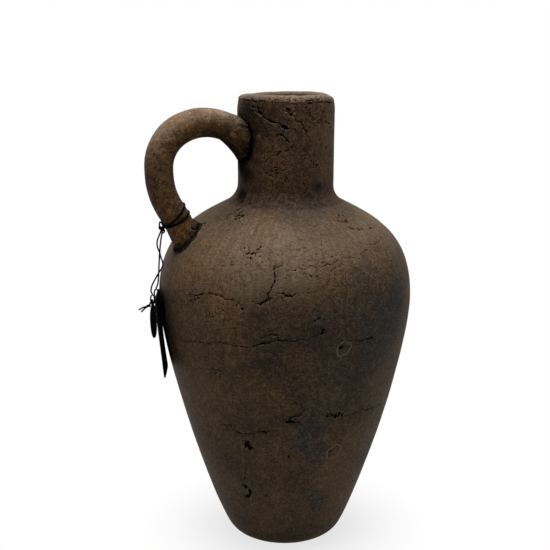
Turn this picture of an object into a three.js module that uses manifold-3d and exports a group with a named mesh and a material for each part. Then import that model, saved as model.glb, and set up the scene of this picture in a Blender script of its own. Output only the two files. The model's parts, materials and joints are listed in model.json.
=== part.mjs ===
// A jug vase: smoky brown earthenware with one round handle, a waxed cord tied round the handle
// and two plain swing tags hanging from the cord.
// Millimetres, +Z up. The origin is the centre of the flat underside. The handle points to -X.

import * as THREE from 'three';
import { mergeVertices } from 'three/addons/utils/BufferGeometryUtils.js';
import Module from 'manifold-3d';

const wasm = await Module();
wasm.setup();

const degrees = THREE.MathUtils.degToRad;

// Vessel: the heights stack up from the underside
const FOOT_RADIUS = 34;              // flat part of the underside
const FOOT_EDGE_RADIUS = 21;
const WALL_LEAN = degrees(27.5);     // lower wall, from the vertical
const WALL_STRAIGHTNESS = 42;        // how far the lower wall keeps that lean
const BELLY_RADIUS = 111.5;
const BELLY_HEIGHT = 224;            // underside to the widest line
const BELLY_FULLNESS_BELOW = 47;
const BELLY_FULLNESS_ABOVE = 54;
const SHOULDER_RISE = 94.7;          // widest line to the foot of the straight neck
const SHOULDER_SLOPE = degrees(27);  // beside the neck, from the horizontal
const SHOULDER_STRAIGHTNESS = 41;
const NECK_RADIUS = 41.9;
const NECK_FILLET_RADIUS = 10;
const NECK_LENGTH = 75.9;            // foot of the straight neck to the lip
const BORE_RADIUS = 29.5;
const WALL_THICKNESS = 9;
const LIP_HEIGHT = 5.4;
const LIP_OVERHANG = 0.7;            // lip coil beyond the neck
const LIP_OUTER_ROUND = 4.2;
const LIP_INNER_ROUND = 3.2;

// Handle: a round coil of clay, bent in one plane and luted on at both ends
const ROD_RADIUS = 12;
const HANDLE_DROP = 31.9;            // rim to the axis of the upper end, at the neck
const UPPER_TILT = degrees(25);      // upper end, above the horizontal
const LOWER_TILT = degrees(66);      // lower end, above the horizontal
const HANDLE_OVERHANG = 2.2;         // outermost point of the axis, beyond the belly
const OUTERMOST_DROP = 26.5;         // upper end to the outermost point of the axis
const LOWER_END_INSET = 19;          // belly radius to the lower end, on the shoulder
const STRAIGHT_END = 12;             // straight stretch at each end
const ROOT_DEPTH = 10;               // drawn inside the wall, then cut away
const CROWN_REACH = 31;              // fullness of the bends
const OUTER_REACH_ABOVE = 31;
const OUTER_REACH_BELOW = 28;
const LOWER_REACH = 16;

// Luting: soft clay worked round each end of the handle
const UPPER_LUTING = { length: 12, spread: 9.5, edge: 1 };
const LOWER_LUTING = { length: 8, spread: 2.2, edge: 0.8 };

// Cord and tags
const CORD_DIAMETER = 1;
const WRAP_HEIGHT = 18.5;            // shoulder to the knot, along the handle
const WRAP_PITCH = 1.8;              // between turns, beside the knot
const WRAP_SLANTS = [6.2, 0.4];      // rise of each turn on the far side of the rod
const KNOT_RADIUS = 1.6;
const TREFOIL_REACH = 1.5;           // a trefoil's lobes reach this many times its radius
const TAG_THICKNESS = 1.2;
const HOLE_RADIUS = 1.75;
const LOOP_RISE = 7.6;               // hole to the top of the cord's loop
const LOOP_SHOULDER = 5.5;           // hole to where the loop starts to close
const LOOP_HALF_WIDTH = 1.5;
const LONG_TAG = {
  length: 70, width: 36, corner: 2, holeDrop: 4,
  standoff: 8.4, side: -2.7, drop: 58.6, turn: degrees(-19.5), lean: degrees(-5.3),
};
const SHORT_TAG = {
  length: 33.5, width: 26, topRadius: 4, neckFullness: 6, sideFullness: 9,
  standoff: 12.6, side: -5.5, drop: 62.5, turn: degrees(-5.5), lean: 0,
};
const TIE_RADIUS = 1.3;
const TAIL_CURL = 1;
const TAIL_ENDS = [[-8.6, 1.6, -5.6], [-5.4, -1.4, -6.8]];   // from the tie

// Each route is a list of [share of the way down, to the right, away] as seen from the front
const VIEW_TURN = degrees(-23);
const LONG_ROUTE = [
  [0, 0, 0], [0.15, -0.3, 0], [0.35, -0.2, 0], [0.55, 0.3, 0], [0.75, 0.9, 0], [0.9, 1.1, 0], [1, 0, 0],
];
const SHORT_ROUTE = [
  [0, 0, 0], [0.1, -1.4, 0], [0.17, -1.5, 0], [0.25, -0.3, 0], [0.32, 1.7, 0], [0.4, 3.2, 0.8],
  [0.48, 4.9, 2.2], [0.54, 5.4, 3.6], [0.6, 4.6, 4.6], [0.66, 3, 4.6], [0.76, 0.6, 2], [0.86, -1.3, 0],
  [0.95, -1.5, 0], [1, 0, 0],
];
const LONG_START = [0.5, 0.6];       // right and away of the knot
const SHORT_START = [-0.9, -0.6];

// Clearance between pieces that touch, and fineness
const SEAM = 0.3;
const AROUND = 56;
const OUTSIDE_STEPS = 10;
const INSIDE_STEPS = 7;
const ROUND_STEPS = 3;
const ROD_SIDES = 20;
const ROD_STEPS = 36;
const LUTING_SIDES = 28;
const LUTING_STEPS = 6;
const CORD_SIDES = 8;
const KNOT_SIDES = 6;
const CORD_STEPS = { wrap: 36, knot: 48, longStrand: 18, shortStrand: 26, loop: 14, tail: 4 };

const CLAY = new THREE.MeshStandardMaterial({ color: 0x4a3526, roughness: 0.9, metalness: 0 });
const NECK_CLAY = new THREE.MeshStandardMaterial({ color: 0x463122, roughness: 0.9, metalness: 0 });
const LIP_CLAY = new THREE.MeshStandardMaterial({ color: 0x55402d, roughness: 0.9, metalness: 0 });
const HANDLE_CLAY = new THREE.MeshStandardMaterial({ color: 0x5a4027, roughness: 0.88, metalness: 0 });
const LUTING_CLAY = new THREE.MeshStandardMaterial({ color: 0x3a2a1e, roughness: 0.92, metalness: 0 });
const CORD = new THREE.MeshStandardMaterial({ color: 0x121110, roughness: 0.6, metalness: 0 });
const CARD = new THREE.MeshStandardMaterial({ color: 0x17171a, roughness: 0.5, metalness: 0 });

const NECK_FOOT_HEIGHT = BELLY_HEIGHT + SHOULDER_RISE;
const LIP_SEAT_HEIGHT = NECK_FOOT_HEIGHT + NECK_LENGTH;
const RIM_HEIGHT = LIP_SEAT_HEIGHT + LIP_HEIGHT;

const jug = new THREE.Group();

function addPiece(name, geometry, material, parent = jug) {
  const mesh = new THREE.Mesh(geometry, material);
  mesh.name = name;
  parent.add(mesh);
  return mesh;
}

// Solids: joining and cutting closed geometry

function toSolid(geometry) {
  const bare = new THREE.BufferGeometry();
  bare.setAttribute('position', geometry.getAttribute('position'));
  bare.setIndex(geometry.getIndex());
  const merged = mergeVertices(bare, 1e-4);
  const vertProperties = Float32Array.from(merged.getAttribute('position').array);
  const corners = merged.getIndex().array;
  const triVerts = [];
  for (let i = 0; i < corners.length; i += 3) {
    const [a, b, c] = corners.subarray(i, i + 3);
    if (a !== b && b !== c && c !== a) triVerts.push(a, b, c);
  }
  const mesh = new wasm.Mesh({ numProp: 3, vertProperties, triVerts: Uint32Array.from(triVerts) });
  return new wasm.Manifold(mesh);
}

function toGeometry(solid) {
  const mesh = solid.getMesh();
  const geometry = new THREE.BufferGeometry();
  geometry.setAttribute('position', new THREE.BufferAttribute(mesh.vertProperties, 3));
  geometry.setIndex(new THREE.BufferAttribute(mesh.triVerts, 1));
  geometry.computeVertexNormals();
  return geometry;
}

function cutAway(geometry, tool) {
  return toGeometry(toSolid(geometry).subtract(toSolid(tool)));
}

function joinAll(geometries) {
  return toGeometry(geometries.map(toSolid).reduce((whole, next) => whole.add(next)));
}

// A profile of (radius, height) points turned about the Z axis
function turned(profile, segments = AROUND) {
  return new THREE.LatheGeometry(profile, segments).rotateX(Math.PI / 2);
}

// Vessel profiles. The inset moves the whole outline in from the outside of the clay.

function shoulderEnd(inset) {
  const filletCentre = new THREE.Vector2(NECK_RADIUS + NECK_FILLET_RADIUS, NECK_FOOT_HEIGHT);
  const down = new THREE.Vector2(-Math.sin(SHOULDER_SLOPE), -Math.cos(SHOULDER_SLOPE));
  const outwards = down.clone().negate();
  return filletCentre.addScaledVector(down, NECK_FILLET_RADIUS).addScaledVector(outwards, -inset);
}

function bodyOutline(inset, steps = OUTSIDE_STEPS) {
  const wallStart = new THREE.Vector2(Math.cos(WALL_LEAN), -Math.sin(WALL_LEAN))
    .multiplyScalar(FOOT_EDGE_RADIUS - inset)
    .add(new THREE.Vector2(FOOT_RADIUS, FOOT_EDGE_RADIUS));
  const wallGuide = new THREE.Vector2(Math.sin(WALL_LEAN), Math.cos(WALL_LEAN))
    .multiplyScalar(WALL_STRAIGHTNESS)
    .add(wallStart);
  const widest = BELLY_RADIUS - inset;
  const end = shoulderEnd(inset);
  const endGuide = new THREE.Vector2(Math.cos(SHOULDER_SLOPE), -Math.sin(SHOULDER_SLOPE))
    .multiplyScalar(SHOULDER_STRAIGHTNESS)
    .add(end);

  const foot = new THREE.Path();
  foot.moveTo(0, inset);
  foot.lineTo(FOOT_RADIUS, inset);
  const edge = new THREE.Path();
  edge.absarc(FOOT_RADIUS, FOOT_EDGE_RADIUS, FOOT_EDGE_RADIUS - inset, -Math.PI / 2, -WALL_LEAN, false);
  const wall = new THREE.Path();
  wall.moveTo(wallStart.x, wallStart.y);
  const lowGuide = BELLY_HEIGHT - BELLY_FULLNESS_BELOW;
  wall.bezierCurveTo(wallGuide.x, wallGuide.y, widest, lowGuide, widest, BELLY_HEIGHT);
  const shoulder = new THREE.Path();
  shoulder.moveTo(widest, BELLY_HEIGHT);
  shoulder.bezierCurveTo(widest, BELLY_HEIGHT + BELLY_FULLNESS_ABOVE, endGuide.x, endGuide.y, end.x, end.y);
  return [
    ...foot.getPoints(1),
    ...edge.getPoints(ROUND_STEPS).slice(1),
    ...wall.getPoints(steps).slice(1),
    ...shoulder.getPoints(steps).slice(1),
  ];
}

function neckFillet(fromHeight, outset) {
  const radius = NECK_FILLET_RADIUS - outset;
  const start = Math.PI + Math.asin((NECK_FOOT_HEIGHT - fromHeight) / radius);
  const fillet = new THREE.Path();
  fillet.absarc(NECK_RADIUS + NECK_FILLET_RADIUS, NECK_FOOT_HEIGHT, radius, start, Math.PI, true);
  return fillet.getPoints(ROUND_STEPS);
}

function bodyProfile() {
  const outside = bodyOutline(0);
  const inside = bodyOutline(WALL_THICKNESS, INSIDE_STEPS).reverse();
  const seatHeight = shoulderEnd(0).y;
  const ceilingHeight = inside[0].y;
  return [
    ...outside,
    new THREE.Vector2(BORE_RADIUS, seatHeight),
    new THREE.Vector2(BORE_RADIUS, ceilingHeight),
    ...inside,
  ];
}

function neckProfile() {
  const base = shoulderEnd(0).y + SEAM;
  const profile = [
    new THREE.Vector2(BORE_RADIUS, base),
    ...neckFillet(base, 0),
    new THREE.Vector2(NECK_RADIUS, LIP_SEAT_HEIGHT),
    new THREE.Vector2(BORE_RADIUS, LIP_SEAT_HEIGHT),
  ];
  return [...profile, profile[0].clone()];
}

function lipProfile() {
  const base = LIP_SEAT_HEIGHT + SEAM;
  const outside = NECK_RADIUS + LIP_OVERHANG;
  const outline = new THREE.Path();
  outline.moveTo(BORE_RADIUS, base);
  outline.lineTo(outside - LIP_OVERHANG, base);
  outline.lineTo(outside, base + LIP_OVERHANG);
  outline.absarc(outside - LIP_OUTER_ROUND, RIM_HEIGHT - LIP_OUTER_ROUND, LIP_OUTER_ROUND,
    0, Math.PI / 2, false);
  outline.absarc(BORE_RADIUS + LIP_INNER_ROUND, RIM_HEIGHT - LIP_INNER_ROUND, LIP_INNER_ROUND,
    Math.PI / 2, Math.PI, false);
  outline.lineTo(BORE_RADIUS, base);
  return outline.getPoints(ROUND_STEPS);
}

// The outside of the body and neck as a solid block, standing off the clay by the seam clearance
function vesselEnvelope() {
  const body = bodyOutline(-SEAM);
  return turned([
    ...body,
    ...neckFillet(body.at(-1).y + SEAM, SEAM),
    new THREE.Vector2(NECK_RADIUS + SEAM, RIM_HEIGHT),
    new THREE.Vector2(0, RIM_HEIGHT),
  ]);
}

function shoulderHeight(radius) {
  const shoulder = bodyOutline(0).filter((point) => point.y >= BELLY_HEIGHT);
  const next = shoulder.findIndex((point) => point.x < radius);
  const [a, b] = [shoulder[next - 1], shoulder[next]];
  return THREE.MathUtils.lerp(a.y, b.y, (a.x - radius) / (a.x - b.x));
}

// Handle axis, in the XZ plane, from inside the neck to inside the shoulder

function handleAxis() {
  const place = (radius, height) => new THREE.Vector3(-radius, 0, height);
  const upperOut = new THREE.Vector3(-Math.cos(UPPER_TILT), 0, Math.sin(UPPER_TILT));
  const lowerOut = new THREE.Vector3(-Math.cos(LOWER_TILT), 0, Math.sin(LOWER_TILT));
  const lowerRadius = BELLY_RADIUS - LOWER_END_INSET;
  const upperEnd = place(NECK_RADIUS, RIM_HEIGHT - HANDLE_DROP);
  const lowerEnd = place(lowerRadius, shoulderHeight(lowerRadius));
  const outermost = place(BELLY_RADIUS + HANDLE_OVERHANG, upperEnd.z - OUTERMOST_DROP);
  const along = (point, direction, distance) => point.clone().addScaledVector(direction, distance);
  const up = new THREE.Vector3(0, 0, 1);
  const upperBend = along(upperEnd, upperOut, STRAIGHT_END);
  const lowerBend = along(lowerEnd, lowerOut, STRAIGHT_END);

  const axis = new THREE.CurvePath();
  axis.add(new THREE.LineCurve3(along(upperEnd, upperOut, -ROOT_DEPTH), upperBend));
  axis.add(new THREE.CubicBezierCurve3(
    upperBend,
    along(upperBend, upperOut, CROWN_REACH),
    along(outermost, up, OUTER_REACH_ABOVE),
    outermost,
  ));
  axis.add(new THREE.CubicBezierCurve3(
    outermost,
    along(outermost, up, -OUTER_REACH_BELOW),
    along(lowerBend, lowerOut, LOWER_REACH),
    lowerBend,
  ));
  axis.add(new THREE.LineCurve3(lowerBend, along(lowerEnd, lowerOut, -ROOT_DEPTH)));
  return { axis, upperEnd, upperOut, lowerEnd, lowerOut };
}

function tube(path, radius, sides, steps) {
  const section = new THREE.Shape().absarc(0, 0, radius, 0, Math.PI * 2, false);
  const points = section.getSpacedPoints(sides).slice(0, sides);
  return new THREE.ExtrudeGeometry(new THREE.Shape(points), {
    extrudePath: path, steps, bevelEnabled: false, curveSegments: 1,
  });
}

function cordTube(path, steps) {
  return tube(path, CORD_DIAMETER / 2, CORD_SIDES, steps);
}

// A flared ring of clay round the rod: thin at its tip, spreading towards the wall it sits on
function lutingRing({ length, spread, edge }, end, outwards) {
  const inner = ROD_RADIUS + SEAM;
  const depth = ROOT_DEPTH;
  const outline = new THREE.Path();
  outline.moveTo(inner, -depth);
  outline.lineTo(inner + edge + spread, -depth);
  outline.quadraticCurveTo(inner + edge, -depth / 3, inner + edge, length - edge);
  outline.quadraticCurveTo(inner + edge, length, inner, length);
  outline.lineTo(inner, -depth);
  const ring = turned(outline.getPoints(LUTING_STEPS), LUTING_SIDES);
  const turn = new THREE.Quaternion().setFromUnitVectors(new THREE.Vector3(0, 0, 1), outwards);
  return ring.applyQuaternion(turn).translate(end.x, end.y, end.z);
}

// Cord round the rod: the turns meet at the knot on the outer side and spread on the inner side
class WrapCurve extends THREE.Curve {
  constructor(rod, knotPlace) {
    super();
    this.rod = rod;
    this.knotPlace = knotPlace;
    this.radius = ROD_RADIUS + SEAM + CORD_DIAMETER / 2;
  }

  getPoint(share, target = new THREE.Vector3()) {
    const turns = share * WRAP_SLANTS.length;
    const angle = turns * Math.PI * 2;
    const slant = WRAP_SLANTS[Math.min(Math.floor(turns), WRAP_SLANTS.length - 1)];
    const rise = WRAP_PITCH * (1 - turns) + slant * (1 - Math.cos(angle)) / 2;
    const { centre, outwards } = rodFrame(this.rod, this.knotPlace + rise);
    return target.copy(centre)
      .addScaledVector(outwards, this.radius * Math.cos(angle))
      .add(new THREE.Vector3(0, this.radius * Math.sin(angle), 0));
  }
}

// The rod's axis and its outward side, at a distance up the handle from the shoulder
function rodFrame(rod, distance) {
  const share = 1 - (ROOT_DEPTH + distance) / rod.getLength();
  const along = rod.getTangent(share);
  return { centre: rod.getPoint(share), outwards: new THREE.Vector3(along.z, 0, -along.x) };
}

function strandCurve(start, end, route) {
  const up = new THREE.Vector3(0, 0, 1);
  return new THREE.CatmullRomCurve3(route.map(([share, right, away]) => {
    const bow = new THREE.Vector3(right, away, 0).applyAxisAngle(up, VIEW_TURN);
    return start.clone().lerp(end, share).add(bow);
  }));
}

// A hairpin of cord through a tag's hole, closing again above the tag's top edge
function loopCurve() {
  const side = LOOP_HALF_WIDTH;
  const close = CORD_DIAMETER / 2 + SEAM / 2;
  const bend = (1 - Math.SQRT1_2) * side;
  const half = [[close, LOOP_RISE], [side, LOOP_SHOULDER], [side, side], [side - bend, bend]];
  const places = [...half, [0, 0], ...half.toReversed().map(([x, z]) => [-x, z])];
  return new THREE.CatmullRomCurve3(places.map(([x, z]) => new THREE.Vector3(x, 0, z)));
}

// Tags are drawn flat, hole at the origin, then stood up with their faces towards X
function standingTag(outline) {
  outline.holes.push(new THREE.Path().absarc(0, 0, HOLE_RADIUS, 0, Math.PI * 2, true));
  return new THREE.ExtrudeGeometry(outline, { depth: TAG_THICKNESS, bevelEnabled: false, curveSegments: 8 })
    .translate(0, 0, -TAG_THICKNESS / 2)
    .rotateX(Math.PI / 2)
    .rotateZ(Math.PI / 2);
}

function longTagOutline() {
  const { length, width, corner, holeDrop } = LONG_TAG;
  const [left, right] = [-width / 2, width / 2];
  const [bottom, top] = [holeDrop - length, holeDrop];
  const outline = new THREE.Shape();
  outline.absarc(right - corner, bottom + corner, corner, -Math.PI / 2, 0, false);
  outline.absarc(right - corner, top - corner, corner, 0, Math.PI / 2, false);
  outline.absarc(left + corner, top - corner, corner, Math.PI / 2, Math.PI, false);
  outline.absarc(left + corner, bottom + corner, corner, Math.PI, Math.PI * 1.5, false);
  return outline;
}

function shortTagOutline() {
  const { length, width, topRadius, neckFullness, sideFullness } = SHORT_TAG;
  const round = width / 2;
  const centre = topRadius - length + round;
  const outline = new THREE.Shape();
  outline.moveTo(-round, centre);
  outline.absarc(0, centre, round, Math.PI, Math.PI * 2, false);
  outline.bezierCurveTo(round, centre + sideFullness, topRadius, -neckFullness, topRadius, 0);
  outline.absarc(0, 0, topRadius, 0, Math.PI, false);
  outline.bezierCurveTo(-topRadius, -neckFullness, -round, centre + sideFullness, -round, centre);
  return outline;
}

function hangTag(tag, knot) {
  const hanger = new THREE.Group();
  hanger.position.set(-(BELLY_RADIUS + tag.standoff), tag.side, knot.z - tag.drop);
  hanger.rotation.z = tag.turn;
  jug.add(hanger);
  return hanger;
}

function loopTop(tag, knot) {
  return new THREE.Vector3(
    -(BELLY_RADIUS + tag.standoff),
    tag.side,
    knot.z - tag.drop + LOOP_RISE + CORD_DIAMETER / 2 + SEAM,
  );
}

// Vessel
addPiece('body', turned(bodyProfile()), CLAY);
addPiece('neck', turned(neckProfile()), NECK_CLAY);
addPiece('lip', turned(lipProfile()), LIP_CLAY);

// Handle and its luting
const { axis, upperEnd, upperOut, lowerEnd, lowerOut } = handleAxis();
const envelope = vesselEnvelope();
addPiece('handle', cutAway(tube(axis, ROD_RADIUS, ROD_SIDES, ROD_STEPS), envelope), HANDLE_CLAY);
addPiece('upper_luting', cutAway(lutingRing(UPPER_LUTING, upperEnd, upperOut), envelope), LUTING_CLAY);
addPiece('lower_luting', cutAway(lutingRing(LOWER_LUTING, lowerEnd, lowerOut), envelope), LUTING_CLAY);

// Cord round the handle, and its knot
addPiece('cord_wrap', cordTube(new WrapCurve(axis, WRAP_HEIGHT), CORD_STEPS.wrap), CORD);
const { centre: rodCentre, outwards: rodOutwards } = rodFrame(axis, WRAP_HEIGHT);
const knotHalfHeight = KNOT_RADIUS / 2 + CORD_DIAMETER / 2;
const knotDistance = ROD_RADIUS + SEAM + CORD_DIAMETER + SEAM + knotHalfHeight;
const knot = rodCentre.clone().addScaledVector(rodOutwards, knotDistance);
const trefoil = new THREE.TorusKnotGeometry(KNOT_RADIUS, CORD_DIAMETER / 2, CORD_STEPS.knot, KNOT_SIDES);
const knotMesh = addPiece('cord_knot', trefoil, CORD);
knotMesh.position.copy(knot);
knotMesh.quaternion.setFromUnitVectors(new THREE.Vector3(0, 0, 1), rodOutwards);

// Strands from the knot to the tags
const knotReach = KNOT_RADIUS * TREFOIL_REACH + CORD_DIAMETER / 2 + SEAM;
function strandStart([right, away]) {
  const offset = new THREE.Vector3(right, away, 0).applyAxisAngle(new THREE.Vector3(0, 0, 1), VIEW_TURN);
  return knot.clone().add(offset).setZ(knot.z - knotReach);
}
const longStrand = strandCurve(strandStart(LONG_START), loopTop(LONG_TAG, knot), LONG_ROUTE);
const shortStrand = strandCurve(strandStart(SHORT_START), loopTop(SHORT_TAG, knot), SHORT_ROUTE);
addPiece('long_strand', cordTube(longStrand, CORD_STEPS.longStrand), CORD);
addPiece('short_strand', cordTube(shortStrand, CORD_STEPS.shortStrand), CORD);

// Tags, each on its own hairpin of cord
const longHanger = hangTag(LONG_TAG, knot);
addPiece('long_tag_loop', cordTube(loopCurve(), CORD_STEPS.loop), CORD, longHanger);
addPiece('long_tag', standingTag(longTagOutline()), CARD, longHanger).rotation.y = LONG_TAG.lean;
const shortHanger = hangTag(SHORT_TAG, knot);
addPiece('short_tag_loop', cordTube(loopCurve(), CORD_STEPS.loop), CORD, shortHanger);
addPiece('short_tag', standingTag(shortTagOutline()), CARD, shortHanger).rotation.y = SHORT_TAG.lean;

// The tie of the short tag's loop, with its two blunt tails
const tails = TAIL_ENDS.map((end) => {
  const tip = new THREE.Vector3(...end);
  const bend = tip.clone().divideScalar(2).add(new THREE.Vector3(0, 0, TAIL_CURL));
  return cordTube(new THREE.QuadraticBezierCurve3(new THREE.Vector3(), bend, tip), CORD_STEPS.tail);
});
const tieLump = new THREE.SphereGeometry(TIE_RADIUS, CORD_SIDES, CORD_SIDES);
const tie = addPiece('tag_tie', joinAll([tieLump, ...tails]), CORD, shortHanger);
tie.position.set(-(LOOP_HALF_WIDTH + CORD_DIAMETER / 2 + SEAM + TIE_RADIUS), 0, LOOP_HALF_WIDTH);

export default jug;
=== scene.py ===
# %% [markdown]
# # A jug vase in smoky earthenware
#
# This lesson dresses a hand-built jug: a thrown body, a neck and a lip, one coiled handle, and a
# waxed cord with two plain tags. The construction model fixes every size and place. Here each of its
# pieces gets the form and finish of the real thing: wobbling clay, cracks and pits, smoke and worn edges.
# Everything is drawn in millimetres and turned into metres as each piece is finished.

# %% Load the frame
import json
import math
import random
from bisect import bisect
from collections import namedtuple

import bmesh
import bpy
from mathutils import Matrix, Quaternion, Vector, geometry, kdtree, noise


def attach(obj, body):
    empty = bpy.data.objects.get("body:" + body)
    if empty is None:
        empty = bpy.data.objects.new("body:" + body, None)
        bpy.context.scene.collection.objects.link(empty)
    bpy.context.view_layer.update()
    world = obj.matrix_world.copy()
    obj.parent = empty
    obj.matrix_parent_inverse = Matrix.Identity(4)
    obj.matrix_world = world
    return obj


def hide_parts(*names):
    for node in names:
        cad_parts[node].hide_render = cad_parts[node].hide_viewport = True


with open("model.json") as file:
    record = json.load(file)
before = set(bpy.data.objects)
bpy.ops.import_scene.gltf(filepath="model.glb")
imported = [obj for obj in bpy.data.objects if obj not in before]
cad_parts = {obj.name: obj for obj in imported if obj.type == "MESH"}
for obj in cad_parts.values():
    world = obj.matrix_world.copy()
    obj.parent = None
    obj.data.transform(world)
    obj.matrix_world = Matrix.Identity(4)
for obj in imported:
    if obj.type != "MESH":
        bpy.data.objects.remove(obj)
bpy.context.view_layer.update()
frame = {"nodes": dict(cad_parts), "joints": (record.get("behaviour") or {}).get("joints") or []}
scene = bpy.context.scene
scene.view_settings.view_transform = "Standard"
MM = 0.001
UP = Vector((0, 0, 1))
NOISE_SEED = 1                      # unless it is seeded, vector noise is shifted by chance on every run

noise.seed_set(NOISE_SEED)
print("nodes:", sorted(frame["nodes"]))

# %% [markdown]
# ## Camera
#
# The jug is seen from a little above its belly, with the handle turned towards us by about a quarter of
# a right angle. We could aim a camera by eye, but three plain sizes say it better: how far back it stands,
# how high, and how much it looks down. A small step sideways puts the jug right of the middle.

# %% Camera
FRONT_TURN = math.radians(-23)      # the front, turned about the jug's axis
CAMERA_BACK = 950
CAMERA_HEIGHT = 462
CAMERA_SIDE = -8.6
CAMERA_PITCH = math.radians(13.13)
CAMERA_SENSOR = 36
CAMERA_LENS = 71.66

from_front = Matrix.Rotation(FRONT_TURN, 3, "Z")
camera = bpy.data.objects.new("camera", bpy.data.cameras.new("camera"))
scene.collection.objects.link(camera)
camera.data.sensor_width = CAMERA_SENSOR
camera.data.lens = CAMERA_LENS
camera.location = from_front @ Vector((CAMERA_SIDE, -CAMERA_BACK, CAMERA_HEIGHT)) * MM
camera.rotation_euler = (math.pi / 2 - CAMERA_PITCH, 0, FRONT_TURN)
scene.camera = camera
print("camera at", [round(x, 3) for x in camera.location])

# %% [markdown]
# ## Words for shaders
#
# A finish is a tree of nodes. Made by hand, every node and every link is a line of its own, and the idea gets
# lost among them. So a few helpers each say one thing: stretch this range, mix these two, make some noise,
# read a value that the mesh carries. A socket that holds a constant is set, not linked.

# %% Words for shaders
WHITE = (1, 1, 1, 1)


def wire(tree, socket, value):
    """Link a socket, or set it when the value is a plain number, colour or vector."""
    if isinstance(value, bpy.types.NodeSocket):
        tree.links.new(value, socket)
    else:
        socket.default_value = value


def node(tree, kind, settings=None, **sockets):
    """A shader node with its settings and its sockets, spaces in their names written as _."""
    made = tree.nodes.new(kind)
    for name, value in (settings or {}).items():
        setattr(made, name, value)
    for name, value in sockets.items():
        wire(tree, made.inputs[name.replace("_", " ")], value)
    return made


def combined(tree, operation, a, b):
    """Two numbers into one."""
    made = node(tree, "ShaderNodeMath", {"operation": operation})
    wire(tree, made.inputs[0], a)
    wire(tree, made.inputs[1], b)
    return made.outputs[0]


def blended(tree, share, under, over, way="MIX"):
    """Two colours into one, by a share."""
    made = node(tree, "ShaderNodeMix", {"data_type": "RGBA", "blend_type": way})
    wire(tree, made.inputs[0], share)
    wire(tree, made.inputs[6], under)
    wire(tree, made.inputs[7], over)
    return made.outputs[2]


def mixed(tree, share, first, second):
    """Two shaders into one, by a share."""
    made = node(tree, "ShaderNodeMixShader", Fac=share)
    wire(tree, made.inputs[1], first)
    wire(tree, made.inputs[2], second)
    return made.outputs[0]


def spread(tree, value, low, high, to_low=0.0, to_high=1.0):
    """Stretch a number from one range to another, clamped and smooth."""
    made = node(tree, "ShaderNodeMapRange", {"interpolation_type": "SMOOTHSTEP"}, Value=value,
                From_Min=low, From_Max=high, To_Min=to_low, To_Max=to_high)
    return made.outputs[0]


def ramp(tree, value, *stops):
    """Colours at places from nought to one."""
    made = node(tree, "ShaderNodeValToRGB", Fac=value)
    band = made.color_ramp.elements
    while len(band) < len(stops):
        band.new(0.5)
    for element, (place, colour) in zip(band, stops):
        element.position = place
        element.color = colour
    return made.outputs[0]


def grainy(tree, vector, scale, detail=3.0, roughness=0.6):
    return node(tree, "ShaderNodeTexNoise", Vector=vector, Scale=scale, Detail=detail,
                Roughness=roughness).outputs["Fac"]


def painted(tree, name, output="Fac"):
    """A value that the mesh carries on its points."""
    return node(tree, "ShaderNodeAttribute", {"attribute_name": name}).outputs[output]


def relief(tree, height, strength, depth, **under):
    return node(tree, "ShaderNodeBump", Height=height, Strength=strength, Distance=depth, **under).outputs[0]


def cleared(owner):
    """The empty node tree of a material or a world."""
    owner.use_nodes = True
    owner.node_tree.nodes.clear()
    return owner.node_tree


def new_material(name):
    """A material, its empty tree, and where each point lies on its piece."""
    material = bpy.data.materials.new(name)
    tree = cleared(material)
    return material, tree, tree.nodes.new("ShaderNodeTexCoord").outputs["Object"]


def finished(material, surface):
    node(material.node_tree, "ShaderNodeOutputMaterial", Surface=surface)
    return material


print("helpers for nodes, links and finishes")

# %% [markdown]
# ## Floor and light
#
# A studio picture of a dark pot uses one broad soft lamp overhead and white paper all round. The shoulder
# catches the lamp, the belly falls away into shade, and the paper fills the shade a little from below.
# The camera sees the paper and the room as plain white, while the floor near the foot keeps its shadow.

# %% Floor and light
KEY_SIZE = 1.1
KEY_POWER = 20.0
KEY_PLACE = Vector((-0.04, -0.10, 1.35))
FLOOR_SIZE = 3
ROOM_LIGHT = 0.05                   # what the room adds to the shade
PAPER = (0.86, 0.86, 0.86, 1)
BOUNCE = (0.66, 0.66, 0.66, 1)      # what the paper gives back to the pot
SHADOW_REACH = (0.03, 0.15)         # metres from the axis over which the paper fades to white
SHADOW_SHARE = 0.25                 # how much of the shadow shows beside the foot


def seen_directly(tree):
    """One for rays from the camera, and for mirrored and see-through ones, nought for the rest."""
    path = tree.nodes.new("ShaderNodeLightPath").outputs
    mirrored = combined(tree, "MAXIMUM", path["Is Camera Ray"], path["Is Glossy Ray"])
    return combined(tree, "MAXIMUM", mirrored, path["Is Transmission Ray"])


def white_room():
    scene.world = bpy.data.worlds.new("white_room")
    tree = cleared(scene.world)
    dim = node(tree, "ShaderNodeBackground", Color=WHITE, Strength=ROOM_LIGHT).outputs[0]
    bright = node(tree, "ShaderNodeBackground", Color=WHITE, Strength=1.0).outputs[0]
    node(tree, "ShaderNodeOutputWorld", Surface=mixed(tree, seen_directly(tree), dim, bright))


def paper_finish():
    material, tree, place = new_material("paper")
    distance = node(tree, "ShaderNodeVectorMath", {"operation": "LENGTH"})
    wire(tree, distance.inputs[0], place)
    fade = spread(tree, distance.outputs["Value"], *SHADOW_REACH, 1 - SHADOW_SHARE)
    shaded = node(tree, "ShaderNodeBsdfDiffuse", Color=PAPER).outputs[0]
    white = node(tree, "ShaderNodeEmission", Color=WHITE, Strength=1.0).outputs[0]
    unseen = node(tree, "ShaderNodeBsdfDiffuse", Color=BOUNCE).outputs[0]
    return finished(material, mixed(tree, seen_directly(tree), unseen, mixed(tree, fade, shaded, white)))


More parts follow.
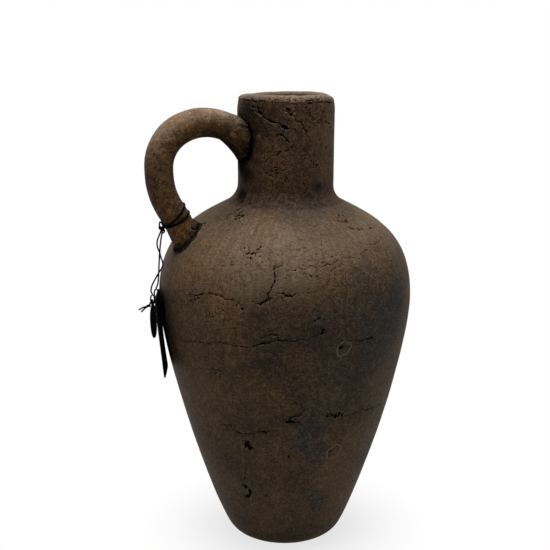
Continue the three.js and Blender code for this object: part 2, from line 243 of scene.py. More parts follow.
white_room()
sheet = bmesh.new()
bmesh.ops.create_grid(sheet, x_segments=1, y_segments=1, size=FLOOR_SIZE)
floor_mesh = bpy.data.meshes.new("floor")
sheet.to_mesh(floor_mesh)
sheet.free()
floor_mesh.materials.append(paper_finish())
floor = bpy.data.objects.new("floor", floor_mesh)
scene.collection.objects.link(floor)

key = bpy.data.objects.new("overhead_lamp", bpy.data.lights.new("overhead_lamp", "AREA"))
key.data.shape = "DISK"
key.data.size = KEY_SIZE
key.data.energy = KEY_POWER
key.location = from_front @ KEY_PLACE
scene.collection.objects.link(key)
print("one overhead lamp of", KEY_POWER, "W and a white room at", ROOM_LIGHT)

# %% [markdown]
# ## Making pieces
#
# Two helpers serve the whole jug. One carries a ring along a line by extruding its edges step by step,
# which makes coils of clay and cords alike. The other hands a finished mesh over: it is scaled to metres,
# shaded smooth and told which body it rides on, and the construction piece it stands for is hidden.

# %% Making pieces
SHARP_FROM = math.radians(50)


def frames_along(points, twist=0):
    """A matrix at each point of a line: Z runs along the line, and twist adds turns per millimetre."""
    before = [points[0]] + points[:-1]
    after = points[1:] + [points[-1]]
    tangents = [(b - a).normalized() for a, b in zip(before, after)]
    turn = UP.rotation_difference(tangents[0])
    travelled = 0
    frames = []
    for i, place in enumerate(points):
        if i:
            turn = tangents[i - 1].rotation_difference(tangents[i]) @ turn
            travelled += (place - points[i - 1]).length
        spin = Quaternion(tangents[i], travelled * twist * math.tau)
        frames.append(Matrix.Translation(place) @ (spin @ turn).to_matrix().to_4x4())
    return frames


def edges_of(verts):
    """The edges at these points, each once and always in the same order."""
    return list(dict.fromkeys(edge for vert in verts for edge in vert.link_edges))


def drawn_out(bm, edges):
    """Extrude a loop of edges once, and give back its new edges and points."""
    parts = bmesh.ops.extrude_edge_only(bm, edges=edges)["geom"]
    edges = [part for part in parts if isinstance(part, bmesh.types.BMEdge)]
    return edges, [part for part in parts if isinstance(part, bmesh.types.BMVert)]


def capped_ring(bm, radius, sides):
    return bmesh.ops.create_circle(bm, cap_ends=True, radius=radius, segments=sides)["verts"]


def sweep(bm, section, frames):
    """Extrude a ring of vertices drawn round the origin along these frames, and close both ends."""
    bmesh.ops.transform(bm, matrix=frames[0], verts=section)
    edges = edges_of(section)
    rings = [section]
    for before, after in zip(frames, frames[1:]):
        edges, ring = drawn_out(bm, edges)
        bmesh.ops.transform(bm, matrix=after @ before.inverted(), verts=ring)
        rings.append(ring)
    bmesh.ops.edgeloop_fill(bm, edges=edges)
    return rings


def resampled(points, spacing):
    """The same line with evenly spaced points."""
    steps = [(b - a).length for a, b in zip(points, points[1:])]
    count = max(2, round(sum(steps) / spacing))
    step = sum(steps) / count
    made, travelled, i = [points[0]], 0, 0
    for k in range(1, count):
        while travelled + steps[i] < k * step:
            travelled += steps[i]
            i += 1
        made.append(points[i].lerp(points[i + 1], (k * step - travelled) / steps[i]))
    return made + [points[-1]]


def hand_over(bm, name, node_name, body, material):
    """Turn a mesh drawn in millimetres into the piece that stands for a construction node."""
    bmesh.ops.recalc_face_normals(bm, faces=bm.faces)
    bmesh.ops.scale(bm, vec=(MM, MM, MM), verts=bm.verts)
    mesh = bpy.data.meshes.new(name)
    bm.to_mesh(mesh)
    bm.free()
    mesh.shade_smooth()
    mesh.set_sharp_from_angle(angle=SHARP_FROM)
    mesh.materials.append(material)
    piece = bpy.data.objects.new(name, mesh)
    scene.collection.objects.link(piece)
    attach(piece, body)
    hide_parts(node_name)
    print(name, len(mesh.polygons), "faces")
    return piece


print("pieces are drawn in millimetres and handed over in metres")

# %% [markdown]
# ## The vessel's outline
#
# A thrown pot is one outline turned about its axis. The outline is a flat foot with a round edge, a long
# leaning wall, a full belly, a sloping shoulder, a fillet and a straight neck. Two cubic curves and two
# arcs draw it. The list of outline points also answers a question that the cracks will ask later:
# how wide is the pot at this height?

# %% The vessel's outline
FOOT_RADIUS = 34
FOOT_EDGE_RADIUS = 21
WALL_LEAN = math.radians(27.5)
WALL_STRAIGHTNESS = 42
BELLY_RADIUS = 111.5
BELLY_HEIGHT = 224
BELLY_FULLNESS_BELOW = 47
BELLY_FULLNESS_ABOVE = 54
SHOULDER_RISE = 94.7
SHOULDER_SLOPE = math.radians(27)
SHOULDER_STRAIGHTNESS = 41
NECK_RADIUS = 41.9
NECK_FILLET_RADIUS = 10
NECK_LENGTH = 75.9
BORE_RADIUS = 29.5
WALL_THICKNESS = 9
LIP_HEIGHT = 5.4
NECK_FOOT_HEIGHT = BELLY_HEIGHT + SHOULDER_RISE
LIP_SEAT_HEIGHT = NECK_FOOT_HEIGHT + NECK_LENGTH
RIM_HEIGHT = LIP_SEAT_HEIGHT + LIP_HEIGHT
FRONT = FRONT_TURN - math.pi / 2    # the bearing of the front, from +X
CURVE_STEPS = (8, 66, 38)           # along the foot's edge, the wall and the shoulder
FILLET_STEPS = 8


def at(radius, height):
    return Vector((radius, 0, height))


def flat(x, y):
    return Vector((x, y, 0))


def arc(centre, radius, start, end, steps, place=at):
    """Points on an arc, standing up unless its places are flat."""
    turns = [start + (end - start) * i / steps for i in range(steps + 1)]
    return [centre + place(radius * math.cos(a), radius * math.sin(a)) for a in turns]


def fillet_centre(radius):
    """The middle of a round root between the shoulder's slope and the neck."""
    rise = (radius - NECK_FILLET_RADIUS) * (1 - math.sin(SHOULDER_SLOPE)) / math.cos(SHOULDER_SLOPE)
    return at(NECK_RADIUS + radius, NECK_FOOT_HEIGHT + rise)


def neck_fillet(radius, steps):
    return arc(fillet_centre(radius), radius, -math.pi / 2 - SHOULDER_SLOPE, -math.pi, steps)


DOWN_SLOPE = at(math.cos(SHOULDER_SLOPE), -math.sin(SHOULDER_SLOPE))
OUT_OF_SLOPE = at(math.sin(SHOULDER_SLOPE), math.cos(SHOULDER_SLOPE))


def body_outline(inset, edge_steps, wall_steps, shoulder_steps):
    """From the edge of the flat foot up to the neck's fillet, moved in from the outside by the inset."""
    edge_centre = at(FOOT_RADIUS, FOOT_EDGE_RADIUS)
    edge = arc(edge_centre, FOOT_EDGE_RADIUS - inset, -math.pi / 2, -WALL_LEAN, edge_steps)
    lean = at(math.sin(WALL_LEAN), math.cos(WALL_LEAN))
    widest = at(BELLY_RADIUS - inset, BELLY_HEIGHT)
    wall = geometry.interpolate_bezier(
        edge[-1], edge[-1] + lean * WALL_STRAIGHTNESS,
        widest - UP * BELLY_FULLNESS_BELOW, widest, wall_steps + 1)
    end = fillet_centre(NECK_FILLET_RADIUS) - OUT_OF_SLOPE * (NECK_FILLET_RADIUS + inset)
    shoulder = geometry.interpolate_bezier(
        widest, widest + UP * BELLY_FULLNESS_ABOVE,
        end + DOWN_SLOPE * SHOULDER_STRAIGHTNESS, end, shoulder_steps + 1)
    return edge + wall[1:] + shoulder[1:]


OUTSIDE = body_outline(0, *CURVE_STEPS) + neck_fillet(NECK_FILLET_RADIUS, FILLET_STEPS)[1:]
OUTSIDE.append(at(NECK_RADIUS, RIM_HEIGHT))
HEIGHTS = [point.z for point in OUTSIDE]


def outer_radius(height):
    i = min(max(bisect(HEIGHTS, height), 1), len(OUTSIDE) - 1)
    low, high = OUTSIDE[i - 1], OUTSIDE[i]
    share = (height - low.z) / max(high.z - low.z, 1e-6)
    return low.x + (high.x - low.x) * min(max(share, 0), 1)


def on_vessel(right, height):
    """A point on the clay, so many degrees to the right of the front and so high."""
    bearing = FRONT + math.radians(right)
    radius = outer_radius(height)
    return Vector((radius * math.cos(bearing), radius * math.sin(bearing), height))


print("outline of", len(OUTSIDE), "points, rim at", RIM_HEIGHT)

# %% [markdown]
# ## The handle's axis
#
# The handle is a coil of clay bent in one plane. Its axis leaves the neck along a short straight line,
# swings over in two cubic curves and comes down on the shoulder along another straight line. The cord is
# wound round the same axis, so the axis comes before both.

# %% The handle's axis
ROD_RADIUS = 12
HANDLE_DROP = 31.9
UPPER_TILT = math.radians(25)
LOWER_TILT = math.radians(66)
HANDLE_OVERHANG = 2.2
OUTERMOST_DROP = 26.5
LOWER_END_INSET = 19
STRAIGHT_END = 12
CROWN_REACH = 31
OUTER_REACH_ABOVE = 31
OUTER_REACH_BELOW = 28
LOWER_REACH = 16
AXIS_STEPS = 60

upper_out = at(-math.cos(UPPER_TILT), math.sin(UPPER_TILT))
lower_out = at(-math.cos(LOWER_TILT), math.sin(LOWER_TILT))
lower_radius = BELLY_RADIUS - LOWER_END_INSET
lower_end = next(at(-lower_radius, p.z) for p in OUTSIDE if p.z > BELLY_HEIGHT and p.x < lower_radius)
upper_end = at(-NECK_RADIUS, RIM_HEIGHT - HANDLE_DROP)
outermost = at(-(BELLY_RADIUS + HANDLE_OVERHANG), upper_end.z - OUTERMOST_DROP)
upper_bend = upper_end + upper_out * STRAIGHT_END
lower_bend = lower_end + lower_out * STRAIGHT_END
handle_axis = [upper_end] + geometry.interpolate_bezier(
    upper_bend, upper_bend + upper_out * CROWN_REACH,
    outermost + UP * OUTER_REACH_ABOVE, outermost, AXIS_STEPS)
handle_axis += geometry.interpolate_bezier(
    outermost, outermost - UP * OUTER_REACH_BELOW,
    lower_bend + lower_out * LOWER_REACH, lower_bend, AXIS_STEPS)[1:]
handle_axis = resampled(handle_axis + [lower_end], 1)


def rod_at(distance):
    """The rod's middle and its outward side, so many millimetres up the handle from the shoulder."""
    line = handle_axis[::-1]
    i = min(int(distance), len(line) - 2)
    along = (line[i + 1] - line[i]).normalized()
    return line[i].lerp(line[i + 1], distance - i), Vector((-along.z, 0, along.x))


print("handle axis", len(handle_axis) - 1, "mm long")

# %% [markdown]
# ## Black finishes
#
# The cord is waxed cotton and the tags are uncoated card. Both are nearly black, so what tells them apart is
# the way they catch light: wax has a dull shine and shows its plies, card has a dry, fibrous face and edges
# rubbed grey. Each gets a little noise in its colour, roughness and relief.

# %% Black finishes
TWINE_COLOURS = ((0.002, 0.002, 0.002, 1), (0.005, 0.0048, 0.0045, 1))
CARD_COLOURS = ((0.003, 0.003, 0.0035, 1), (0.008, 0.008, 0.0085, 1))
CARD_WORN = (0.02, 0.019, 0.018, 1)
FIBRE_DEPTH = 0.0001


def waxed_cord_finish():
    material, tree, place = new_material("waxed_twine")
    fibres = grainy(tree, place, 4200)
    patches = grainy(tree, place, 260)
    shader = node(tree, "ShaderNodeBsdfPrincipled", Base_Color=blended(tree, patches, *TWINE_COLOURS),
                  Roughness=spread(tree, patches, 0.3, 0.7, 0.45, 0.7), Specular_IOR_Level=0.006,
                  Normal=relief(tree, fibres, 0.4, FIBRE_DEPTH))
    return finished(material, shader.outputs[0])


def card_finish():
    material, tree, place = new_material("black_card")
    fibres = grainy(tree, place, 1800, 5)
    scuffs = grainy(tree, place, 140, 5)
    face = blended(tree, spread(tree, fibres, 0.35, 0.7), *CARD_COLOURS)
    at_rim = spread(tree, painted(tree, "rim"), 0.55, 1.0)
    worn = combined(tree, "MULTIPLY", at_rim, spread(tree, scuffs, 0.42, 0.62))
    shader = node(tree, "ShaderNodeBsdfPrincipled", Base_Color=blended(tree, worn, face, CARD_WORN),
                  Roughness=spread(tree, scuffs, 0.3, 0.7, 0.5, 0.72), Specular_IOR_Level=0,
                  Normal=relief(tree, fibres, 0.25, FIBRE_DEPTH))
    return finished(material, shader.outputs[0])


WAXED_CORD = waxed_cord_finish()
BLACK_CARD = card_finish()
print("finishes:", WAXED_CORD.name, BLACK_CARD.name)

# %% [markdown]
# ## The cord
#
# One thin black waxed cord is wound twice round the handle's lower end and knotted on its outer side.
# Two strands hang from the knot, one of them curling round the other, and each ends in a hairpin
# through a tag. A plain tube would look like wire, so the ring that is swept along each line has three
# lobes and turns as it goes: that is how a three-ply cord is laid. The turns round the handle are worked
# out by a formula, and the hanging routes are listed points, smoothed into one curve.

# %% The cord's lines
CORD_DIAMETER = 1                   # of the construction
TWINE_DIAMETER = 1.4                # with plies and loose fibres
CORD_SIDES = 12
CORD_PLIES = 3
PLY_DEPTH = 0.1
PLY_TURN = 1 / 3.6                  # turns per millimetre
CORD_STEP = 0.35
WRAP_HEIGHT = 18.5
WRAP_PITCH = 1.8
WRAP_SLANTS = [6.2, 0.4]
WRAP_STEPS = 70                     # points on each turn
TURN_IN = 2.5                       # how gently the ends of the turns come in to the knot
KNOT_RADIUS = 1.6
LOOP_RISE = 7.6
LOOP_SHOULDER = 5.5
LOOP_HALF_WIDTH = 1.5
SEAM = 0.3
TIE_RADIUS = 1.3
TIE_TIGHTNESS = 0.7
TAIL_CURL = 1
TIE_DROP = 3
TAIL_ENDS = [(-8.2, 1.6, -3.3), (-6.6, -1.4, -4.6)]
LONG_TAG_TURN = math.radians(-19.5)
LONG_TAG_SWAY = 0.8                 # how far its hole lets the card hang to the right
LONG_TAG_TWIST = math.radians(-1.6)     # how far the card has turned on its cord
SHORT_TAG_TURN = math.radians(-5.5)
# Each route is a list of (share of the way down, to the right, away) as seen from the front
LONG_ROUTE = [
    (0, 0, 0), (0.15, -0.3, 0), (0.35, -0.2, 0), (0.55, 0.3, 0), (0.75, 0.9, 0), (0.9, 1.1, 0), (1, 0, 0)]
SHORT_ROUTE = [
    (0, 0, 0), (0.1, -1.4, 0), (0.17, -1.5, 0), (0.25, -0.3, 0), (0.32, 1.7, 0), (0.4, 3.2, 0.8),
    (0.48, 4.9, 2.2), (0.54, 5.4, 3.6), (0.6, 4.6, 4.6), (0.66, 3, 4.6), (0.76, 0.6, 2), (0.86, -1.3, 0),
    (0.95, -1.5, 0), (1, 0, 0)]
LONG_START = (0.5, 0.6, -3.2)       # right, away and up from the knot
SHORT_START = (-0.9, -0.6, -3.2)

hinges = {joint["name"]: Vector(joint["pos_m"]) / MM for joint in frame["joints"]}
knot = hinges["pendant_swing"]
long_hole = hinges["long_tag_swing"]
short_hole = hinges["short_tag_swing"]


def from_knot(right, away, up):
    return knot + from_front @ Vector((right, away, up))


def smooth_line(points, steps=10):
    """One smooth curve through all the points."""
    before = [points[0]] + points[:-1]
    after = points[1:] + [points[-1]]
    slopes = [(b - a) / 6 for a, b in zip(before, after)]
    line = [points[0]]
    for i in range(len(points) - 1):
        start, end = points[i], points[i + 1]
        line += geometry.interpolate_bezier(start, start + slopes[i], end - slopes[i + 1], end, steps + 1)[1:]
    return line


def strand_line(start, hole, route):
    """From the heart of the knot, along a route, to between the legs of a hairpin."""
    loop_top = hole + UP * (LOOP_RISE + CORD_DIAMETER / 2 + SEAM)
    top = from_knot(*start)
    bows = [from_front @ Vector((right, away, 0)) for share, right, away in route]
    hanging = [top.lerp(loop_top, step[0]) + bow for step, bow in zip(route, bows)]
    return smooth_line([knot - UP * CORD_DIAMETER / 2] + hanging + [loop_top - UP * CORD_DIAMETER])


def wrap_line():
    """Turns round the rod that meet at the knot on its outer side and spread on its inner side."""
    radius = ROD_RADIUS + CORD_DIAMETER / 2
    steps = WRAP_STEPS * len(WRAP_SLANTS)
    line = []
    for i in range(steps + 1):
        turns = i / steps * len(WRAP_SLANTS)
        slant = WRAP_SLANTS[min(int(turns), len(WRAP_SLANTS) - 1)]
        angle = turns * math.tau
        rise = WRAP_PITCH * (1 - turns) + slant * (1 - math.cos(angle)) / 2
        middle, outwards = rod_at(WRAP_HEIGHT + rise)
        line.append(middle + outwards * radius * math.cos(angle) + Vector((0, radius * math.sin(angle), 0)))
    first = line[0] - (line[1] - line[0]).normalized() * TURN_IN
    last = line[-1] + (line[-1] - line[-2]).normalized() * TURN_IN
    lead_in = geometry.interpolate_bezier(knot, knot.lerp(first, 0.6), first, line[0], 9)
    lead_out = geometry.interpolate_bezier(line[-1], last, knot.lerp(last, 0.6), knot, 9)
    return lead_in[:-1] + line + lead_out[1:]


def trefoil_line(centre, facing, radius, steps=60):
    """A closed knot of three lobes."""
    turn = UP.rotation_difference(facing)
    line = []
    for i in range(steps + 1):
        a = i / steps * 2 * math.tau
        reach = radius * (2 + math.cos(1.5 * a)) / 2
        height = radius * math.sin(1.5 * a) / 2
        line.append(centre + turn @ Vector((reach * math.cos(a), reach * math.sin(a), height)))
    return line


def hairpin_line(hole, turn):
    """Down one side, through the tag's hole and up again."""
    close = CORD_DIAMETER / 2 + SEAM / 2
    side = LOOP_HALF_WIDTH
    bend = (1 - math.sqrt(0.5)) * side
    half = [(close, LOOP_RISE), (side, LOOP_SHOULDER), (side, side), (side - bend, bend)]
    places = half + [(0, 0)] + [(-x, z) for x, z in reversed(half)]
    stand = Matrix.Rotation(turn, 3, "Z")
    return smooth_line([hole + stand @ Vector((x, 0, z)) for x, z in places], 6)


def lay_cord(bm, line):
    """Sweep a ring of three plies along a line."""
    section = capped_ring(bm, TWINE_DIAMETER / 2, CORD_SIDES)
    for vert in section:
        ply = math.cos(CORD_PLIES * math.atan2(vert.co.y, vert.co.x))
        vert.co *= 1 - PLY_DEPTH * (1 - ply) / 2
    return sweep(bm, section, frames_along(resampled(line, CORD_STEP), PLY_TURN))


def line_length(line):
    return sum((b - a).length for a, b in zip(line, line[1:]))


def cord_piece(name, lines, node_name, body):
    bm = bmesh.new()
    for line in lines:
        lay_cord(bm, line)
    return hand_over(bm, name, node_name, body, WAXED_CORD)


print("knot at", [round(x, 1) for x in knot])

# %% [markdown]
# The knot itself is a small tangle: a trefoil, a bight that sticks up beside the handle and a little open
# loop in front. The tie under the short tag's hairpin is a smaller trefoil with two blunt tails.

# %% The cord
BIGHT = [
    (0, -1, 0), (-1.0, -1.6, 2.4), (-1.2, -2.0, 4.8), (-0.4, -2.2, 6.6), (0.9, -2.0, 5.2), (1.7, -1.6, 3.0),
    (2.0, -1, 0.8)]
LITTLE_LOOP = [
    (0.4, -1, -0.2), (1.2, -2.6, 0.4), (2.4, -3.6, 0.6), (3.2, -4, -0.6), (2.6, -4, -2.2), (1.4, -3.4, -2.6),
    (0.6, -2, -1.2)]

cord_piece("twine_wrap", [wrap_line()], "cord_wrap", "jug")
knot_lines = [trefoil_line(knot, rod_at(WRAP_HEIGHT)[1], KNOT_RADIUS)]
knot_lines += [smooth_line([from_knot(*step) for step in steps]) for steps in (BIGHT, LITTLE_LOOP)]
cord_piece("twine_knot", knot_lines, "cord_knot", "knot")

tag_stand = Matrix.Rotation(SHORT_TAG_TURN, 3, "Z")
leg = short_hole + tag_stand @ Vector((-LOOP_HALF_WIDTH, 0, LOOP_HALF_WIDTH))
tie = leg + tag_stand @ Vector((-(CORD_DIAMETER / 2 + SEAM + TIE_RADIUS), 0, -TIE_DROP))
tie_lines = [trefoil_line(tie, UP, TIE_RADIUS * TIE_TIGHTNESS)]
for tail in TAIL_ENDS:
    tip = tag_stand @ Vector(tail)
    curl = tie + tip / 2 + UP * TAIL_CURL / 2
    tie_lines.append(smooth_line([leg, tie, curl, tie + tip]))
tag_tie = cord_piece("twine_tie", tie_lines, "tag_tie", "strands")

long_pin = hairpin_line(long_hole, LONG_TAG_TURN)
short_pin = hairpin_line(short_hole, SHORT_TAG_TURN)
long_loop = cord_piece("twine_long_loop", [long_pin], "long_tag_loop", "strands")
short_loop = cord_piece("twine_short_loop", [short_pin], "short_tag_loop", "strands")
long_line = strand_line(LONG_START, long_hole, LONG_ROUTE)
short_line = strand_line(SHORT_START, short_hole, SHORT_ROUTE)
long_strand = cord_piece("twine_long_strand", [long_line], "long_strand", "strands")
short_strand = cord_piece("twine_short_strand", [short_line], "short_strand", "strands")
print("strands", round(line_length(long_line), 1), "and", round(line_length(short_line), 1), "mm long")

# %% [markdown]
# ## The tags
#
# Two plain black cards, one a long rectangle and one drop-shaped. Each outline and its hole are two loops of
# edges, bridged into a flat sheet. Cutting the sheet across gives it points to bend by, a solidify gives it
# thickness, and a small bevel softens the edges. The hole sits at the origin until the card is stood up and
# carried to its place.

# %% The tags
TAG_THICKNESS = 1.2
HOLE_RADIUS = 1.75
HOLE_SIDES = 24
TAG_EDGE_ROUND = 0.25
TAG_BOW = 0.5                       # how far a card curls from flat
CARD_ROWS = 12                      # it is cut into so many rows,
CARD_COLUMNS = (-0.3, 0, 0.3)       # and at these shares of its width
SHARP_EDGE = 1                      # radians
LONG_TAG_SIZE = (36, 70)
LONG_TAG_CORNER = 2
LONG_TAG_HOLE_DROP = 4
LONG_TAG_LEAN = math.radians(-5.3)
SHORT_TAG_SIZE = (26, 33.5)
SHORT_TAG_TOP_RADIUS = 4
SHORT_TAG_NECK = 6
SHORT_TAG_SIDE = 9


def long_tag_outline():
    width, length = LONG_TAG_SIZE
    corner = LONG_TAG_CORNER
    x = width / 2 - corner
    top = LONG_TAG_HOLE_DROP - corner
    bottom = LONG_TAG_HOLE_DROP - length + corner
    corners = [flat(x, bottom), flat(x, top), flat(-x, top), flat(-x, bottom)]
    outline = []
    for i, middle in enumerate(corners):
        outline += arc(middle, corner, (i - 1) * math.pi / 2, i * math.pi / 2, 5, flat)
    return outline


def short_tag_outline():
    width, length = SHORT_TAG_SIZE
    round_end = width / 2
    low = SHORT_TAG_TOP_RADIUS - length + round_end
    bottom = arc(flat(0, low), round_end, math.pi, math.tau, 20, flat)
    side = geometry.interpolate_bezier(
        flat(round_end, low), flat(round_end, low + SHORT_TAG_SIDE),
        flat(SHORT_TAG_TOP_RADIUS, -SHORT_TAG_NECK), flat(SHORT_TAG_TOP_RADIUS, 0), 11)
    top = arc(flat(0, 0), SHORT_TAG_TOP_RADIUS, 0, math.pi, 10, flat)
    other_side = [flat(-p.x, p.y) for p in reversed(side)]
    return bottom + side[1:] + top[1:] + other_side[1:-1]


def card_piece(name, outline, size, bow, lean, turn, hole, node_name, body):
    bm = bmesh.new()
    verts = [bm.verts.new(p) for p in outline]
    edge_loop = [bm.edges.new(pair) for pair in zip(verts, verts[1:] + verts[:1])]
    ring = bmesh.ops.create_circle(bm, radius=HOLE_RADIUS, segments=HOLE_SIDES)["verts"]
    bmesh.ops.bridge_loops(bm, edges=edge_loop + edges_of(ring))
    rim = bm.verts.layers.float.new("rim")
    low = min(p.y for p in outline)
    cuts = [(flat(0, low + size[1] * i / CARD_ROWS), flat(0, 1)) for i in range(1, CARD_ROWS)]
    cuts += [(flat(size[0] * share, 0), flat(1, 0)) for share in CARD_COLUMNS]
    for place, facing in cuts:
        bmesh.ops.bisect_plane(bm, geom=bm.verts[:] + bm.edges[:] + bm.faces[:],
                               plane_co=place, plane_no=facing, dist=0.01)
    for vert in bm.verts:
        vert[rim] = 1.0 if vert.is_boundary else 0.0
    bmesh.ops.recalc_face_normals(bm, faces=bm.faces)
    bmesh.ops.solidify(bm, geom=bm.faces[:], thickness=TAG_THICKNESS)
    bmesh.ops.translate(bm, vec=(0, 0, -sum(v.co.z for v in bm.verts) / len(bm.verts)), verts=bm.verts)
    bmesh.ops.recalc_face_normals(bm, faces=bm.faces)
    sharp = [edge for edge in bm.edges if edge.is_manifold and edge.calc_face_angle() > SHARP_EDGE]
    bmesh.ops.bevel(bm, geom=sharp, offset=TAG_EDGE_ROUND, offset_type="OFFSET", affect="EDGES",
                    segments=2, profile=0.5, material=-1)
    for vert in bm.verts:
        share = vert.co.y / size[1]
        vert.co.z += bow * (math.sin(share * math.pi) + 0.5 * math.sin(vert.co.x / size[0] * 3 + share * 5))
    stand = Matrix(((0, 0, 1), (1, 0, 0), (0, 1, 0))).to_4x4()
    hang = Matrix.Rotation(turn, 4, "Z") @ Matrix.Rotation(lean, 4, "Y") @ stand
    bmesh.ops.transform(bm, matrix=Matrix.Translation(hole) @ hang, verts=bm.verts)
    return hand_over(bm, name, node_name, body, BLACK_CARD)


swayed_hole = long_hole + from_front @ Vector((LONG_TAG_SWAY, 0, 0))
card_piece("card_long", long_tag_outline(), LONG_TAG_SIZE, TAG_BOW,
           LONG_TAG_LEAN, LONG_TAG_TURN + LONG_TAG_TWIST, swayed_hole, "long_tag", "long_tag")
short_tag = card_piece("card_short", short_tag_outline(), SHORT_TAG_SIZE, -TAG_BOW / 2,
                       0, SHORT_TAG_TURN, short_hole, "short_tag", "short_tag")

print("two cords hang from the knot")

# %% [markdown]
# ## Where the handle is joined on
#
# Each end of the handle was pressed on to the wall, and soft clay was worked round it. Three short outlines
# say how far that clay stands off the rod: on top, at the sides and underneath. They blend into each other on
# the way round. Under the upper end the clay sweeps down into a web, and elsewhere it is a tight round edge
# above a crease. The line where it meets the wall is drawn first, because the finish darkens along it.

# %% Where the handle is joined on
Joint = namedtuple("Joint", "end outwards top side under")
ACROSS = Vector((0, 1, 0))
COLLAR_SIDES = 96
COLLAR_STEPS = 14
COLLAR_UNEVEN = 0.3
ROOT = 1.5                          # how far the clay is let into the wall


def curve_of(*outline):
    return geometry.interpolate_bezier(*[at(*step) for step in outline], COLLAR_STEPS + 1)


# Outlines of (height above the wall, distance off the rod)
UPPER_JOINT = Joint(
    upper_end, upper_out,
    top=curve_of((0, -1.6), (0.6, 1.0), (3.5, 0.9), (9, -0.25)),
    side=curve_of((0, 5.0), (0.9, 7.5), (5, 5.5), (15, -0.25)),
    under=curve_of((0, 10), (5, 5), (12, 1.8), (21, -0.25)))
LOWER_JOINT = Joint(
    lower_end, lower_out,
    top=curve_of((0, 4.2), (1.8, 4.2), (0.4, 0.6), (7, -0.25)),
    side=curve_of((0, 4.6), (2.0, 4.6), (0.4, 0.6), (8, -0.25)),
    under=curve_of((0, 1.6), (1.2, 1.9), (2.0, 0.5), (7, -0.25)))


def meet_vessel(point, direction, depth):
    """Slide a point along a direction until it is this deep under the vessel's skin."""
    outside, inside = -30, 40
    for _ in range(24):
        middle = (outside + inside) / 2
        place = point + direction * middle
        if math.hypot(place.x, place.y) < outer_radius(place.z) - depth:
            inside = middle
        else:
            outside = middle
    return point + direction * inside


def joint_sides(joint):
    """The directions out from the rod, all the way round, each with how far it points up."""
    upwards = joint.outwards.cross(ACROSS)
    if upwards.z < 0:
        upwards.negate()
    turns = [math.tau * i / COLLAR_SIDES for i in range(COLLAR_SIDES)]
    return [(ACROSS * math.cos(turn) + upwards * math.sin(turn), math.sin(turn)) for turn in turns]


def joint_ring(joint, level):
    """The joint's clay all the way round, at one level of its outlines."""
    ring = []
    for radial, rise in joint_sides(joint):
        other = joint.top if rise > 0 else joint.under
        step = joint.side[level].lerp(other[level], abs(rise) ** 1.5)
        off = step.z * (1 + COLLAR_UNEVEN * noise.noise(joint.end + radial * 17))
        foot = meet_vessel(joint.end + radial * (ROD_RADIUS + off), -joint.outwards, 0)
        ring.append(foot + joint.outwards * step.x)
    return ring


def on_rod(distance, turn):
    """A point on the handle, so far up from the shoulder and so many degrees round from its outer side."""
    middle, outwards = rod_at(distance)
    angle = math.radians(turn)
    return middle + (outwards * math.cos(angle) + ACROSS * math.sin(angle)) * ROD_RADIUS


for joint in (UPPER_JOINT, LOWER_JOINT):
    print("a crease of", round(line_length(joint_ring(joint, 0))), "mm")

# %% [markdown]
# ## Marks in the clay
#
# What makes this jug look old is in its skin: cracks that wander along the coils, crumbled places, pits where
# grit fell out. They could be painted, but paint has no shadow. Here each one is a trail of small round
# marks on the surface. The mesh is halved again and again close to them, and then each point near a mark
# sinks into the clay. How near a point is to a mark is kept on the mesh as a value, so that the finish can
# be black at the bottom of a crack and pale along its edge, partly worn and partly painted highlight.

# %% Marks in the clay
Mark = namedtuple("Mark", "place width depth")
MARK_SPACING = 0.5
STRAYS = ((0.17, 1.8), (0.5, 1.0), (1.4, 0.45))   # waves per millimetre, and how far they carry a crack
BRANCHING = 0.07                    # chance of a branch at each mark
PIT_CRUMBS = 4


def back_on_clay(point):
    """The same bearing and height, on the vessel's surface."""
    stretch = outer_radius(point.z) / max(math.hypot(point.x, point.y), 1e-6)
    return Vector((point.x * stretch, point.y * stretch, point.z))


def strayed(point):
    for waves, reach in STRAYS:
        point = point + noise.noise_vector(point * waves) * reach
    return point


def splinter(start, length, width, depth, draw):
    """A short crack from one place, in any direction over the clay."""
    facing = Vector((start.x, start.y, 0)).normalized()
    angle = draw.uniform(0, math.tau)
    heading = UP.cross(facing) * math.cos(angle) + UP * math.sin(angle)
    marks = []
    for i in range(round(length / MARK_SPACING)):
        thin = 1 - 0.6 * i * MARK_SPACING / length
        point = strayed(start + heading * i * MARK_SPACING)
        marks.append(Mark(back_on_clay(point), width * thin, depth * thin))
    return marks


def crack(width, steps, depth_share=1.8):
    """Marks along a ragged line drawn as (degrees right of the front, height), thin at both ends."""
    depth = width * depth_share
    line = resampled([on_vessel(*step) for step in steps], MARK_SPACING)
    draw = random.Random(len(line))
    marks = []
    for i, point in enumerate(line):
        taper = min(1, 0.5 + 6 * min(i, len(line) - 1 - i) / len(line))
        swell = taper * max(0.6, 1 + 1.2 * noise.noise(point * 0.25))
        marks.append(Mark(back_on_clay(strayed(point)), width * swell, depth * swell))
        if depth > 0 and draw.random() < BRANCHING:
            marks += splinter(point, draw.uniform(1, 4), width * 0.8, depth * 0.7, draw)
    return marks


def rod_crack(width, steps):
    """A crack drawn on the handle."""
    line = resampled([on_rod(*step) for step in steps], MARK_SPACING)
    return [Mark(point, width, width) for point in line]


def pit(right, height, radius):
    """A ragged hole: one deep mark and a few beside it."""
    draw = random.Random(round(right * 31 + height * 17))
    middle = on_vessel(right, height)
    marks = [Mark(middle, radius, radius * 0.8)]
    for _ in range(PIT_CRUMBS):
        aside = Vector([draw.uniform(-1, 1) for _ in range(3)]) * radius
        marks.append(Mark(back_on_clay(middle + aside), radius * draw.uniform(0.4, 0.8), radius * 0.6))
    return marks


